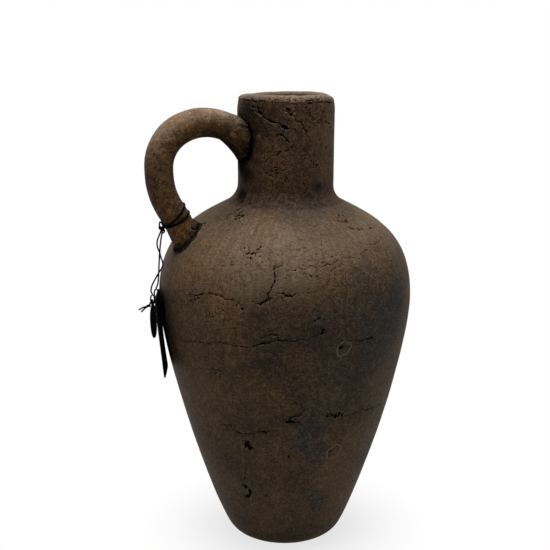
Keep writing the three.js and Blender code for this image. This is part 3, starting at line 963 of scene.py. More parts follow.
def crumbled(right, height, reach, count):
    """Short cracks in all directions, round one place."""
    draw = random.Random(round(right * 7 + height * 3))
    marks = []
    for _ in range(count):
        aside = Vector([draw.gauss(0, reach / 2) for _ in range(3)])
        aside.z *= 0.6
        start = back_on_clay(on_vessel(right, height) + aside)
        marks += splinter(start, draw.uniform(0.6, 2.4), draw.uniform(0.35, 0.75), draw.uniform(0.6, 1), draw)
    return marks


def burst_blister(right, height, radius):
    """A thin raised ring."""
    middle = on_vessel(right, height)
    side = UP.cross(Vector((middle.x, middle.y, 0)).normalized())
    marks = []
    for i in range(round(math.tau * radius / MARK_SPACING)):
        a = i * MARK_SPACING / radius
        reach = radius * (1 + 0.12 * math.sin(2 * a) + 0.06 * math.sin(5 * a))
        point = middle + side * reach * math.cos(a) + UP * reach * math.sin(a)
        marks.append(Mark(back_on_clay(point), 0.7, -0.3))
    return marks


def chips(places):
    """Pale crumbs that stand up beside a pit."""
    return [Mark(on_vessel(right, height), size, -0.3) for right, height, size in places]


def scattered_pits(count, low, high, sizes, seed):
    """Small pits all round the pot between two heights."""
    draw = random.Random(seed)
    marks = []
    for _ in range(count):
        place = on_vessel(draw.uniform(0, 360), draw.uniform(low, high))
        width = draw.uniform(*sizes)
        marks.append(Mark(place, width, width))
        marks.append(Mark(back_on_clay(strayed(place)), width * 0.6, width))
    return marks


def wandering_crack(right, height, span):
    """A crack that drifts round the pot, for the sides that no one has drawn."""
    draw = random.Random(right)
    steps = [(right, height)]
    while steps[-1][0] < right + span:
        steps.append((steps[-1][0] + draw.uniform(3, 8), steps[-1][1] + draw.uniform(-4, 4)))
    return crack(0.6, steps)


print("marks every", MARK_SPACING, "mm along a crack")

# %% [markdown]
# Carving comes after drawing. A search tree finds the marks near each point, so the mesh is only halved
# where it has to be. The lower edge of a mark gets a painted highlight, as if it caught the lamp.

# %% Carving
REFINE_REACHES = (4, 2, 0.9)        # each halving of the mesh reaches this far round a mark
NEARNESS_REACH = 2.5                # nearness falls to nought at so many widths
# Painted highlight on the lower edge of each mark
LOWER_EDGE_HIGHLIGHT = 0.75


def tree_of(points):
    """A search tree, to ask which of many points is the nearest."""
    tree = kdtree.KDTree(len(points))
    for i, point in enumerate(points):
        tree.insert(point, i)
    tree.balance()
    return tree


def smooth_share(value, low, high):
    t = min(1, max(0, (value - low) / (high - low)))
    return t * t * (3 - 2 * t)


def carve(bm, marks):
    """Halve the mesh near marks, sink its points into the clay, paint a highlight on each mark's lower edge.
    """
    tree = tree_of([mark.place for mark in marks])
    for reach in REFINE_REACHES:
        near = set()
        for vert in bm.verts:
            _, i, distance = tree.find(vert.co)
            if distance < reach + marks[i].width:
                near.add(vert)
        edges = [edge for edge in bm.edges if edge.verts[0] in near and edge.verts[1] in near]
        bmesh.ops.subdivide_edges(bm, edges=edges, cuts=1, use_grid_fill=True)
    bm.normal_update()
    groove_and_shadow = bm.verts.layers.float["groove_and_shadow"]
    ridge_and_highlight = bm.verts.layers.float["ridge_and_highlight"]
    widest = max(mark.width for mark in marks)
    for vert in bm.verts:
        depth = 0
        for place, i, _ in tree.find_range(vert.co, widest * NEARNESS_REACH + 1):
            mark = marks[i]
            aside = (vert.co - place).cross(vert.normal).length
            nearness = 1 - aside / mark.width / NEARNESS_REACH
            if nearness > 0:
                layer = groove_and_shadow if mark.depth > 0 else ridge_and_highlight
                vert[layer] = max(vert[layer], nearness)
                # Painted highlight: the lower edge of a mark is made pale, kept with the ridges
                if place.z - vert.co.z > 0.5 * mark.width:
                    worn = smooth_share(nearness, 0.1, 0.4) * (1 - smooth_share(nearness, 0.5, 0.7))
                    vert[ridge_and_highlight] = max(vert[ridge_and_highlight], LOWER_EDGE_HIGHLIGHT * worn)
                depth = max(depth, mark.depth * smooth_share(nearness, 0.4, 0.9), key=abs)
        vert.co -= vert.normal * depth


print("the mesh is halved", len(REFINE_REACHES), "times near a mark")

# %% [markdown]
# The marks themselves, as they lie on this jug. Heights are from the foot and bearings from the front, so
# that a crack can be found again on the pot. The front's marks are listed one by one, and the back has cracks
# of the same kind.

# %% The marks on this jug
SHOULDER_CRACKS = [
    (0.5, [(-5.8, 272), (-5.9, 269.6), (-4.9, 265.2), (-4.6, 261.6), (-5.8, 254.8), (-7.6, 247.8),
           (-9.2, 242.9)]),
    (0.32, [(-5.8, 271.7), (-3.5, 271.1), (-1.2, 272.2)]),
    (0.45, [(-46.2, 243), (-42.2, 241.8), (-35.5, 245.8), (-28.7, 245.1), (-22.9, 243.5), (-18.8, 242.2)]),
    (0.4, [(-45.8, 235.7), (-41.5, 239.6), (-38.7, 242.9)]),
    (0.5, [(-14.5, 243.2), (-12.7, 241.8), (-9.4, 242.9), (-7.3, 246.2), (-5.7, 247.1)]),
    (0.55, [(-4.8, 247.5), (-4.4, 248.7), (-1.5, 251.1), (0.2, 249.5), (3.5, 249.9), (5.2, 252.5)]),
    (0.5, [(41, 294.6), (45, 293.3), (52, 291.4), (63, 290.4), (68, 289.7)]),
    (0.7, [(40.5, 298), (43, 296.9), (48.5, 297.3)]),
    (0.45, [(40, 299.6), (43, 301.1), (48.5, 301.5), (53, 300.6)]),
    (0.35, [(17.4, 296.4), (20.8, 296.4)]),
    (0.3, [(4.3, 283.5), (10.5, 283.1)]),
]
BELLY_CRACKS = [
    (0.42, [(-54, 199), (-45, 201.5), (-33.5, 204.5), (-27, 207), (-21.5, 205.5), (-16.5, 205),
            (-10.5, 208)]),
    (0.7, [(-14, 206), (-10.5, 208.5), (-5, 212), (3.5, 212)]),
    (0.5, [(3.5, 212), (9, 213.5), (13.5, 215.5), (17.5, 219)]),
    (0.45, [(-10, 214), (-6, 217), (-3, 217.5), (-2.7, 213)]),
    (0.5, [(23.5, 209.5), (29.5, 208), (37.5, 206), (43.5, 206)]),
    (0.42, [(30, 139), (39, 138), (49, 138), (61, 137.5)]),
    (0.45, [(-37, 129), (-28.5, 130), (-26, 123), (-18.5, 123.5), (-14, 127), (-8.5, 128.5), (-3, 129)]),
    (0.9, [(-0.3, 137), (6.7, 136.7)]),
    (0.42, [(3.4, 158.5), (7, 155), (9, 148), (6.5, 143.5), (0, 141)]),
]
# These are shallower than the rest, or stand up, so each also has a depth as a share of its width
SHALLOW_CRACKS = [
    (0.35, [(-4.3, 267.1), (5.6, 268.9), (19.5, 270.5), (27.5, 274), (36.5, 274.5), (49, 279.5), (65, 283)],
     0.8),
    (0.4, [(-23, 101), (-25, 86), (-29, 67.5)], 0.8),
    (1.2, [(-28.3, 68.7), (-26.3, 67), (-25.3, 62), (-26.5, 57.5), (-28, 55)], 1.2),
]
JOINT_RIDGE = (
    0.9, [(-63.5, 294), (-60.3, 291), (-57.5, 287.5), (-56.2, 283.7), (-56.4, 279.5), (-57.2, 275)], -0.6)
BODY_PITS = [
    (-21.5, 112.3, 3.1), (-20, 109, 2.5), (-22, 115, 1.6), (2, 103, 1.2), (-13, 60, 1.0), (-18.2, 237, 1.1),
    (-27.6, 67.5, 2.4), (-27.4, 56, 2.4), (-23.3, 287, 0.5), (-21.5, 282.3, 0.7), (-18.5, 279.3, 0.8),
    (-15.4, 279.4, 0.7), (-16.9, 275.3, 0.9), (-12.4, 277.3, 0.6), (-8.3, 275.9, 0.6), (-13.1, 283.8, 0.8),
    (-8.3, 279.6, 0.5), (-6.9, 280.4, 0.5), (-3.9, 278.5, 0.5), (-4.7, 291.9, 0.4), (-18.8, 294.4, 0.5),
    (-30.5, 297.3, 0.5), (-30, 293.4, 0.4), (-27.5, 291.3, 0.5), (-38.2, 292.8, 0.5), (-35.3, 285.5, 0.4),
    (-46, 305.8, 1.8), (-41.3, 303, 2.6), (-36, 302.7, 1.6), (-49.4, 302.5, 1.0), (-48, 300.2, 0.9),
    (-38.4, 300, 1.0), (24, 141, 1.5), (26.5, 139.5, 1.9), (28, 141.5, 1.4), (29.5, 139.2, 1.3),
    (21.5, 140, 1.1), (23.8, 203.5, 1.7), (118, 208, 1.4), (152, 130, 1.8), (158, 133, 1.3),
    (222, 215, 1.5), (240, 88, 2), (130, 70, 1.6), (26.8, 104.5, 1.3), (13.5, 230, 1.2), (12, 228, 0.9),
    (49, 231, 1.0), (41, 231, 0.8), (58, 226, 0.8)]
BODY_CRUMBLED = [
    (-17, 279, 8, 14), (-42, 303, 5, 8), (-44, 241, 7, 12), (-20, 242, 6, 10), (-6, 215, 6, 12),
    (15.5, 219, 4, 16), (26, 140, 4, 20), (22, 142, 4, 14), (3, 139, 7, 18), (-12, 127, 8, 14),
    (46, 299, 5, 9), (0, 250, 5, 9), (100, 225, 20, 24), (150, 262, 22, 24), (165, 133, 8, 18),
    (205, 212, 10, 20), (245, 262, 16, 18), (250, 130, 8, 14), (-28, 226, 18, 26), (20, 266, 24, 26),
    (-32, 180, 8, 16), (40, 205, 5, 10), (48, 139, 6, 12), (-30, 128, 6, 10)]
WANDERING = [(85, 240, 45), (110, 206, 70), (150, 131, 50), (215, 214, 40), (235, 128, 35), (190, 268, 30)]
NECK_CRACKS = [
    (0.8, [(-35.9, 389.5), (-32.6, 387), (-26.4, 384), (-23.4, 381.4), (-18.6, 379.6), (-14, 379.7)]),
    (0.85, [(-23.4, 381.4), (-18.6, 379.6), (-14, 379.7), (-9.4, 378.1), (-5.8, 376.5), (-0.4, 373.3)]),
    (0.5, [(-43, 391.5), (-37, 391.2), (-31.5, 390.6)]),
    (0.5, [(6.7, 385.6), (9.4, 382.3), (14.9, 379.7), (20.6, 376.3), (23.1, 371.7), (23.7, 368.4)]),
    (0.75, [(14.9, 379.7), (20.6, 376.3), (23.1, 371.7)]),
    (0.6, [(-25.5, 374.2), (-22.5, 370.4), (-20.6, 367.2), (-16.8, 362.7)]),
    (0.6, [(-6.7, 370), (-1.3, 366.2), (4, 362.9)]),
    (0.35, [(-27.5, 335), (-14.5, 339), (-1, 339.5)]),
    (0.35, [(-25, 346), (-16, 350), (-8, 354), (4, 358.5)]),
    (0.35, [(44.5, 382), (46, 378), (47.8, 373)]),
]
SEAM_CRACKS = [
    (0.5, [(-60, 396.5), (-46, 396.4), (-26, 396.4)]),
    (0.3, [(-26, 396.4), (-9, 395.4), (8, 394.5), (26, 395)]),
    (0.45, [(26, 395), (44, 395.5), (66, 394.2)]),
    (0.5, [(24, 397.6), (32, 397.2), (40, 397.8)]),
]
NECK_PITS = [
    (2, 389.5, 1.6), (5, 386, 1.5), (-51, 310.8, 1.2), (-38.2, 308.9, 1.8), (-40.1, 307.1, 1.5),
    (-47.7, 306, 1.4), (60, 376.6, 1.0), (62, 373, 0.9), (54, 378, 0.9), (33.3, 343.5, 0.8),
    (30.5, 347, 0.8), (33.8, 341, 0.7), (-23, 337, 0.8), (48, 387, 0.9), (47, 377, 0.8), (42, 364, 0.8)]
NECK_CRUMBLED = [
    (-8, 369, 12, 30), (2, 388, 4, 12), (47, 380, 7, 16), (36, 345, 6, 10), (-35, 388, 8, 14),
    (-14, 338, 10, 12), (-20, 355, 12, 18), (20, 355, 14, 14), (30, 385, 8, 10)]
HANDLE_CRACKS = [
    (1.0, [(7.5, -122), (4.5, -131), (1.5, -142), (0.2, -150)]), (0.9, [(4, -150), (1.5, -146), (0.3, -140)]),
    (0.7, [(4, -54), (2.5, -57), (1.5, -51), (3, -45)]), (0.7, [(46.5, -39), (41.5, -36)]),
    (0.5, [(4, -100), (1.5, -99)]), (0.5, [(4.5, -78), (2, -75)])]
JOINT_CRACKS = [
    (0.8, [(-67.6, 275.9), (-67.4, 273), (-67, 270), (-67.2, 267.6)]),
    (0.7, [(-76.4, 290.6), (-68.8, 290.6), (-62.6, 290.8), (-60.9, 292)])]
NECK_WANDERING = [(100, 380, 35), (170, 360, 45), (225, 385, 30)]
LIP_CRUMBLED = [(40, 397, 6, 10), (-50, 397, 6, 8), (0, 399, 8, 6)]
BLISTERS = [(25.5, 202.5, 6.2), (28.5, 104, 6.6)]
CHIPS = [(-0.6, 387.4, 1.5), (4.4, 387.4, 1.4), (8.2, 386.4, 1.2)]
# Small pits: how many, from and up to what height, how wide, and the seed that scatters them
PITS_ON_BODY = (260, 20, 312, (0.3, 0.7), 3)
PITS_ON_NECK = (70, 322, 392, (0.3, 0.7), 4)
PITS_ON_LIP = (40, 395, 400, (0.4, 0.8), 5)


def all_marks(cracks, pits, broken, wandering):
    marks = []
    for width, steps in cracks:
        marks += crack(width, steps)
    for place in pits:
        marks += pit(*place)
    for place in broken:
        marks += crumbled(*place)
    for place in wandering:
        marks += wandering_crack(*place)
    return marks


body_marks = all_marks(SHOULDER_CRACKS + BELLY_CRACKS + JOINT_CRACKS, BODY_PITS, BODY_CRUMBLED, WANDERING)
for drawn in SHALLOW_CRACKS + [JOINT_RIDGE]:
    body_marks += crack(*drawn)
for place in BLISTERS:
    body_marks += burst_blister(*place)
body_marks += scattered_pits(*PITS_ON_BODY)
neck_marks = all_marks(NECK_CRACKS + SEAM_CRACKS, NECK_PITS, NECK_CRUMBLED, NECK_WANDERING)
neck_marks += scattered_pits(*PITS_ON_NECK)
neck_marks += chips(CHIPS)
lip_marks = all_marks(SEAM_CRACKS, [], LIP_CRUMBLED, [])
lip_marks += scattered_pits(*PITS_ON_LIP)
handle_marks = [mark for width, steps in HANDLE_CRACKS for mark in rod_crack(width, steps)]
print(len(body_marks), "marks on the body,", len(neck_marks), "on the neck and", len(lip_marks), "on the lip")

# %% [markdown]
# ## Stains
#
# Smoke, soot and wiping are stains with soft edges, and some of the smoke and soot is painted shade. Most are
# round patches on the pot, and a little noise breaks their outline. Each is (degrees right of the front,
# height, radius, strength). The crease round each end of the handle, along the line where the joint's clay
# meets the wall, is darkened as well.

# %% Stains on this jug
# The last patch, wide and on the left beside the tags, is painted shadow of the tags, not smoke
SMOKE_AND_SHADE_PATCHES = [
    (27, 178, 9, 0.65), (36, 188, 10, 0.8), (47, 193, 12, 0.85), (57, 203, 14, 0.9), (52, 215, 13, 0.85),
    (54, 229, 18, 0.95), (13.7, 130, 11, 0.95), (10, 114, 10, 0.9), (17, 106, 12, 0.9), (25.5, 53, 9, 0.8),
    (37, 258, 15, 0.4), (13.5, 230, 5, 0.9), (41, 323, 5, 0.9), (120, 180, 26, 0.8), (30, 200, 45, 0.2),
    (5, 308, 14, 0.4), (30, 310, 14, 0.5), (-25, 310, 13, 0.4), (60, 305, 16, 0.4), (45, 270, 14, 0.2),
    (170, 240, 22, 0.6), (200, 110, 24, 0.8), (232, 205, 18, 0.6), (262, 150, 20, 0.7), (150, 350, 16, 0.6),
    (-10, 369, 11, 0.3), (36, 215, 14, 0.7), (36, 203, 14, 0.8), (42, 230, 15, 0.6), (45, 212, 18, 0.85),
    (28, 226, 9, 0.4), (26, 236, 11, 0.35), (40, 285, 40, 0.13), (-88, 202, 38, 0.75)]
# The patches down the neck's left, under the handle's upper end, are soot and painted shadow of the handle
SOOT_AND_SHADE_PATCHES = [
    (-46, 357, 8, 0.85), (-48, 347, 9, 0.62), (-52, 333, 8, 0.8), (-58, 316, 8, 0.85), (-44, 387, 7, 0.8),
    (-50, 345, 22, 0.28), (-45, 382, 17, 0.7), (-42, 320, 16, 0.3), (-20, 385, 11, 0.4), (39, 324, 4, 0.6),
    (-62, 340, 8, 0.9), (-41, 372, 6, 0.8), (-67, 271, 5, 0.5), (-63, 276, 5, 0.6), (-60, 282, 4, 0.6),
    (60, 236, 16, 0.25), (24.3, 203, 2.6, 0.8), (27, 104, 2.4, 0.7), (8, 202, 46, 0.08)]
RUSTY = [
    (-47, 268, 16, 0.5), (-55, 258, 18, 0.4), (-40, 280, 18, 0.45), (-33, 262, 16, 0.35),
    (-30, 240, 12, 0.5), (-24, 228, 11, 0.3), (-12, 175, 14, 0.15), (-35, 160, 18, 0.15),
    (-16, 362, 9, 0.45), (-12, 345, 10, 0.3), (-15, 325, 12, 0.25), (-5, 160, 12, 0.3), (-20, 205, 14, 0.2),
    (5, 195, 12, 0.2), (95, 250, 20, 0.5), (160, 200, 24, 0.4), (215, 250, 22, 0.5), (240, 170, 20, 0.3)]
PALE = [
    (58, 368, 24, 0.7), (54, 342, 20, 0.7), (0, 38, 26, 0.22), (-30, 60, 22, 0.25), (150, 375, 20, 0.3),
    (35, 75, 22, 0.45), (50, 110, 20, 0.45), (45, 45, 20, 0.45), (52, 155, 16, 0.35), (21, 156, 13, 0.3)]
# Each crease follows one level of its joint's outlines, and has a reach of its black and of its darker band
CREASES = [(tree_of(joint_ring(UPPER_JOINT, 0)), 2.8, 6.5), (tree_of(joint_ring(LOWER_JOINT, 7)), 0.6, 2.8)]
print(len(SMOKE_AND_SHADE_PATCHES), "smoky and", len(SOOT_AND_SHADE_PATCHES), "sooty patches")

# %% [markdown]
# Not every stain is a patch. Cloths have wiped the shoulder, the creases and the neck's foot are darker, and
# a painted shadow of the tags lies on the belly beside them. Each of these is a rule: a function that says
# how stained or shaded one place is. One helper asks a rule about every point of a mesh and keeps the answer
# on the point, where the finish can read it.

# %% Rules for stains
STAIN_STRAY = 5                     # how far noise carries the edge of a patch
STAIN_CORE = 0.35                   # inside this share of its radius a patch is even
STAIN_REACH = 1.6                   # beyond this share of its radius it has gone
# how dark the band along each crease gets
CREASE_DARKENING = 0.95
# how much darker the clay gets towards the neck's foot
NECK_FOOT_DARKENING = 0.18
NECK_FOOT_SHADE = (286, 312, 318, 350)   # where it starts, is full, begins to fade and ends
WIPED_FROM = 240
WIPED_SLOPE = 0.58                  # how much higher the wiped part starts for each degree to the right
WIPED_STRAY = 12                    # how far noise carries its edge
WIPED_TOP = (282, 313)              # heights over which it fades towards the neck
WIPED_LEFT = (20, 50)               # degrees to the left over which it thins
BAND_EDGE = -66                     # degrees, where the painted shadow beside the tags begins
BAND_HEIGHTS = (164, 238)
BAND_STRAY = 5
BAND_FADE = (15, 45)                # degrees past its edge over which it fades


def degrees_right(point):
    """The bearing of a point, in degrees to the right of the front."""
    turn = math.degrees(math.atan2(point.y, point.x) - FRONT)
    return (turn + 180) % 360 - 180


def patchy(patches):
    """A rule from patches of (degrees right, height, radius, strength)."""
    spots = [(on_vessel(right, height), radius, strength) for right, height, radius, strength in patches]

    def share_at(point):
        place = point + noise.noise_vector(point * 0.08) * STAIN_STRAY
        share = 0
        for middle, radius, strength in spots:
            near = (place - middle).length / radius
            if near < STAIN_REACH:
                share = max(share, strength * (1 - smooth_share(near, STAIN_CORE, STAIN_REACH)))
        return share

    return share_at


def in_crease(tree, reach, raggedness, strength=1.0):
    """A rule for what gathers along a line and thins out over a reach."""

    def share_at(point):
        distance = tree.find(point)[2] * (1 + 0.8 * noise.noise(point * 0.22))
        distance = max(0, distance + raggedness * noise.noise(point * 0.8))
        return strength * math.exp(-(distance / reach) ** 2)

    return share_at


def wiped_shoulder(point):
    """On the right the wiped part starts higher up."""
    place = point + noise.noise_vector(point * 0.03) * WIPED_STRAY
    right = degrees_right(place)
    edge = WIPED_FROM + WIPED_SLOPE * max(0, min(60, right - 5))
    height = smooth_share(place.z, edge - 10, edge + 25) * (1 - 0.8 * smooth_share(place.z, *WIPED_TOP))
    return height * (1 - 0.3 * smooth_share(-right, *WIPED_LEFT))


def neck_foot(point):
    """Darker towards the foot of the neck, from above and from below."""
    start, full, fading, end = NECK_FOOT_SHADE
    high = point.z + 5 * noise.noise(point * 0.06)
    return NECK_FOOT_DARKENING * smooth_share(high, start, full) * (1 - smooth_share(high, fading, end))


def painted_tag_shadow(point):
    """A painted shadow of the tags: a dark band with one firm edge. It fades away round the back."""
    low, high = BAND_HEIGHTS
    place = point + noise.noise_vector(point * 0.07) * BAND_STRAY
    past = BAND_EDGE - degrees_right(place)
    across = smooth_share(past, -1, 4) * (1 - smooth_share(past, *BAND_FADE))
    along = smooth_share(place.z, low - 4, low + 12) * (1 - smooth_share(place.z, high - 10, high + 6))
    return across * along


# The soot and smoke values also carry painted shade: the tags' shadow here, and later the undersides and the
# mouth
STAIN_RULES = [
    ("smoke_and_shade", patchy(SMOKE_AND_SHADE_PATCHES)), ("soot_and_shade", patchy(SOOT_AND_SHADE_PATCHES)), ("rust", patchy(RUSTY)), ("wiped_and_lit", patchy(PALE)),
    ("wiped_and_lit", wiped_shoulder), ("soot_and_shade", neck_foot), ("soot_and_shade", painted_tag_shadow)]
for crease, black_reach, soot_reach in CREASES:
    STAIN_RULES.append(("groove_and_shadow", in_crease(crease, black_reach, black_reach)))
    STAIN_RULES.append(("soot_and_shade", in_crease(crease, soot_reach, black_reach, CREASE_DARKENING)))
print(len(STAIN_RULES), "rules for stains")

# %% [markdown]
# Two helpers use the rules. The first makes a mesh with room for every value, the second fills them in. It
# also gives each point a place that runs round the pot and down its slope, for the streaks to follow.

# %% Staining a mesh
CLAY_VALUES = ("groove_and_shadow", "ridge_and_highlight", "smoke_and_shade", "soot_and_shade", "rust", "wiped_and_lit")
MERIDIAN_RADIUS = 0.1
MERIDIAN_SLOPE = 0.5


def new_clay():
    """A mesh with room for every value that the clay carries."""
    bm = bmesh.new()
    for name in CLAY_VALUES:
        bm.verts.layers.float.new(name)
    bm.verts.layers.float_vector.new("meridian")
    return bm


def stain(bm, name, share_at):
    """Raise a stain at every point to what a rule says of its place."""
    layer = bm.verts.layers.float[name]
    for vert in bm.verts:
        vert[layer] = max(vert[layer], share_at(vert.co))


def stain_clay(bm):
    for name, rule in STAIN_RULES:
        stain(bm, name, rule)
    meridian = bm.verts.layers.float_vector["meridian"]
    for vert in bm.verts:
        bearing = math.atan2(vert.co.y, vert.co.x)
        fall = (vert.co.z - MERIDIAN_SLOPE * math.hypot(vert.co.x, vert.co.y)) * MM
        vert[meridian] = (MERIDIAN_RADIUS * math.cos(bearing), MERIDIAN_RADIUS * math.sin(bearing), fall)


print("values on each point:", *CLAY_VALUES)

# %% [markdown]
# ## Fired clay
#
# The clay is dark umber and never even: broad warmer and colder areas, a mottle the size of a thumb, grime in
# a finer pattern and a sandy grain that shows as light and dark specks. Cloths have wiped the shoulder paler
# down its slope. Smoke greys it and soot blackens it, and the same grey and black also paint shade and
# shadow:
# beside the tags, under the handle and its joints and inside the mouth. The upper sides of the handle and its
# joints are worn and painted paler as a highlight. The bottom of each crack is nearly black, with a pale edge
# that is partly wear and partly painted highlight, and the roll torn off the lower joint has a painted
# highlight on top and painted shadow underneath. Each of these is one mix on top of the last, so the finish
# is a list of mixes. The same patterns raise a relief, so the skin is dry and rough.

# %% Fired clay
UMBER_DARK = (0.057, 0.037, 0.022, 1)
UMBER = (0.090, 0.057, 0.031, 1)
UMBER_WARM = (0.116, 0.072, 0.038, 1)
WIPED_TAN = (0.188, 0.131, 0.082, 1)
WIPED_ORANGE = (0.162, 0.101, 0.053, 1)
SMOKE_AND_SHADE_GREY = (0.045, 0.041, 0.036, 1)
SOOT_AND_SHADE_BLACK = (0.010, 0.009, 0.008, 1)
CRACK_AND_SHADOW_BLACK = (0.005, 0.004, 0.003, 1)
# Pale grit and worn edges, and also the painted highlight on crack edges and on top of the torn roll
WORN_AND_LIT_EDGE = (0.24, 0.18, 0.12, 1)
RUST = (0.190, 0.092, 0.034, 1)
# Patterns of noise: waves per metre, detail and roughness
BROAD = (17, 5, 0.55)
MOTTLE = (95, 6, 0.65)
BLOTCHES = (230, 4, 0.6)
GRIME = (380, 6, 0.7)
GRAIN = (1100, 2, 0.6)
STREAKS = (90, 5, 0.65)
STROKES = (320, 4, 0.65)
DRAWN_OUT = (1, 1, 0.15)            # streaks and strokes are this much longer down the slope
FLATTENED = (1, 1, 1.9)             # holes are wider than they are high


def tinted(colour, tint):
    return tuple(a * b for a, b in zip(colour, tint))


def shading(tree, pattern, low, high, dark, light):
    """Greys that darken where a pattern is low and lighten where it is high."""
    stops = [(place, (level, level, level, 1)) for place, level in ((low, dark), (0.5, 1), (high, light))]
    return ramp(tree, pattern, *stops)


def speckled(tree, place, scale, size, sparse, strength):
    """Small round specks, one in some of the cells of a random net."""
    cells = node(tree, "ShaderNodeTexVoronoi", Vector=place, Scale=scale)
    chosen = node(tree, "ShaderNodeSeparateColor", Color=cells.outputs["Color"]).outputs[0]
    dot = spread(tree, cells.outputs["Distance"], size, 2 * size, strength, 0.0)
    return combined(tree, "MULTIPLY", dot, combined(tree, "GREATER_THAN", chosen, sparse))


def hairlines(tree, place, scale, width, strength):
    """Thin ragged lines where a noise passes its middle, in the places that a second noise leaves."""
    level = grainy(tree, place, scale, 4, 0.6)
    rising = spread(tree, level, 0.5 - width, 0.5)
    line = combined(tree, "MULTIPLY", rising, spread(tree, level, 0.5, 0.5 + width, 1, 0))
    left = spread(tree, grainy(tree, place, 1.6 * scale, 3), 0.5, 0.58, 0, strength)
    return combined(tree, "MULTIPLY", line, left)


def fired_clay(name, tint, wear_tint, unevenness=0.25, wrinkled=0.5, rugged=1.0):
    material, tree, place = new_material(name)
    meridian = painted(tree, "meridian", "Vector")
    down_slope = node(tree, "ShaderNodeMapping", Vector=meridian, Scale=DRAWN_OUT).outputs[0]
    flattened = node(tree, "ShaderNodeMapping", Vector=place, Scale=FLATTENED).outputs[0]
    sizes = (BROAD, MOTTLE, BLOTCHES, GRIME, GRAIN)
    broad, mottle, blotches, grime, grain = [grainy(tree, place, *size) for size in sizes]
    streaks, strokes = [grainy(tree, down_slope, *size) for size in (STREAKS, STROKES)]
    wiped_and_lit, soot_and_shade, ridge_and_highlight = [painted(tree, value) for value in ("wiped_and_lit", "soot_and_shade", "ridge_and_highlight")]

    def by_wear_and_highlight(bare, worn):
        """A share that changes from bare clay to wiped clay, which on the handle's upper side is also painted
        highlight.
        """
        return spread(tree, wiped_and_lit, 0, 0.8, bare, worn)

    umbers = [tinted(colour, tint) for colour in (UMBER_DARK, UMBER, UMBER_WARM)]
    tans = [tinted(colour, wear_tint) for colour in (WIPED_TAN, WIPED_ORANGE)]
    streaky = spread(tree, streaks, 0.3, 0.7, 0.62, 1.0)
    calm = by_wear_and_highlight(1.0, 0.5)
    dark, light = 1 - unevenness, 1 + unevenness
    nearness = combined(tree, "ADD", painted(tree, "groove_and_shadow"), spread(tree, grime, 0.3, 0.7, -0.2, 0.2))
    rubbed_and_lit = spread(tree, grime, 0.5, 0.65, 0, 0.45)
    colour = ramp(tree, broad, *zip((0.35, 0.5, 0.68), umbers))
    mixes = [
        ("MIX", combined(tree, "MULTIPLY", wiped_and_lit, streaky), ramp(tree, broad, *zip((0.42, 0.62), tans))),
        ("MIX", combined(tree, "MULTIPLY", painted(tree, "rust"), streaky), RUST),
        ("MIX", painted(tree, "smoke_and_shade"), SMOKE_AND_SHADE_GREY),
        ("MULTIPLY", calm, shading(tree, mottle, 0.3, 0.7, dark, light)),
        ("MULTIPLY", calm, shading(tree, blotches, 0.36, 0.64, dark, light)),
        ("MULTIPLY", by_wear_and_highlight(1.0, 0.45),
         shading(tree, grime, 0.33, 0.68, 0.8 - 0.6 * unevenness, 1.15 + 0.6 * unevenness)),
        ("MULTIPLY", by_wear_and_highlight(0.85, 0.28), shading(tree, grain, 0.28, 0.72, 0.1, 2.2)),
        ("MULTIPLY", by_wear_and_highlight(0.3, 0.7), shading(tree, strokes, 0.3, 0.7, 0.7, 1.3)),
        ("MIX", speckled(tree, place, 420, 0.2, 0.6, 0.35), WORN_AND_LIT_EDGE),
        ("MIX", hairlines(tree, place, 60, 0.02, wrinkled), CRACK_AND_SHADOW_BLACK),
        # Soot, and painted shade: the tags' shadow, the undersides of the handle and its joints, the inside
        # of the mouth
        ("MIX", soot_and_shade, SOOT_AND_SHADE_BLACK),
        ("MIX", speckled(tree, flattened, 240, 0.13, 0.8, 0.8), CRACK_AND_SHADOW_BLACK),
        # Pale ridges and crack edges are partly wear and partly painted highlight; the crack black also
        # paints shadow under the torn roll
        ("MIX", spread(tree, ridge_and_highlight, 0.5, 0.9, 0, 0.65), WORN_AND_LIT_EDGE),
        ("MIX", combined(tree, "MULTIPLY", spread(tree, nearness, 0.35, 0.5), rubbed_and_lit), WORN_AND_LIT_EDGE),
        ("MIX", spread(tree, nearness, 0.62, 0.78), CRACK_AND_SHADOW_BLACK),
        ("MIX", spread(tree, ridge_and_highlight, 0.76, 0.92, 0, 0.7), WORN_AND_LIT_EDGE)]
    for way, share, over in mixes:
        colour = blended(tree, share, colour, over, way)

    skin = relief(tree, mottle, 0.6, 0.002 * rugged)
    leathery = relief(tree, grime, 0.9, 0.0018 * rugged, Normal=skin)
    sandy = relief(tree, grain, 0.7, 0.0004, Normal=leathery)
    dull = combined(tree, "MAXIMUM", soot_and_shade, spread(tree, nearness, 0.45, 0.7))
    shader = node(tree, "ShaderNodeBsdfPrincipled", Base_Color=colour, Normal=sandy,
                  Roughness=spread(tree, mottle, 0.3, 0.7, 0.82, 0.98),
                  Specular_IOR_Level=spread(tree, dull, 0, 1, 0.1, 0),
                  Coat_Weight=spread(tree, dull, 0, 1, 0.35, 0), Coat_Roughness=0.5, Coat_IOR=1.15)
    return finished(material, shader.outputs[0])


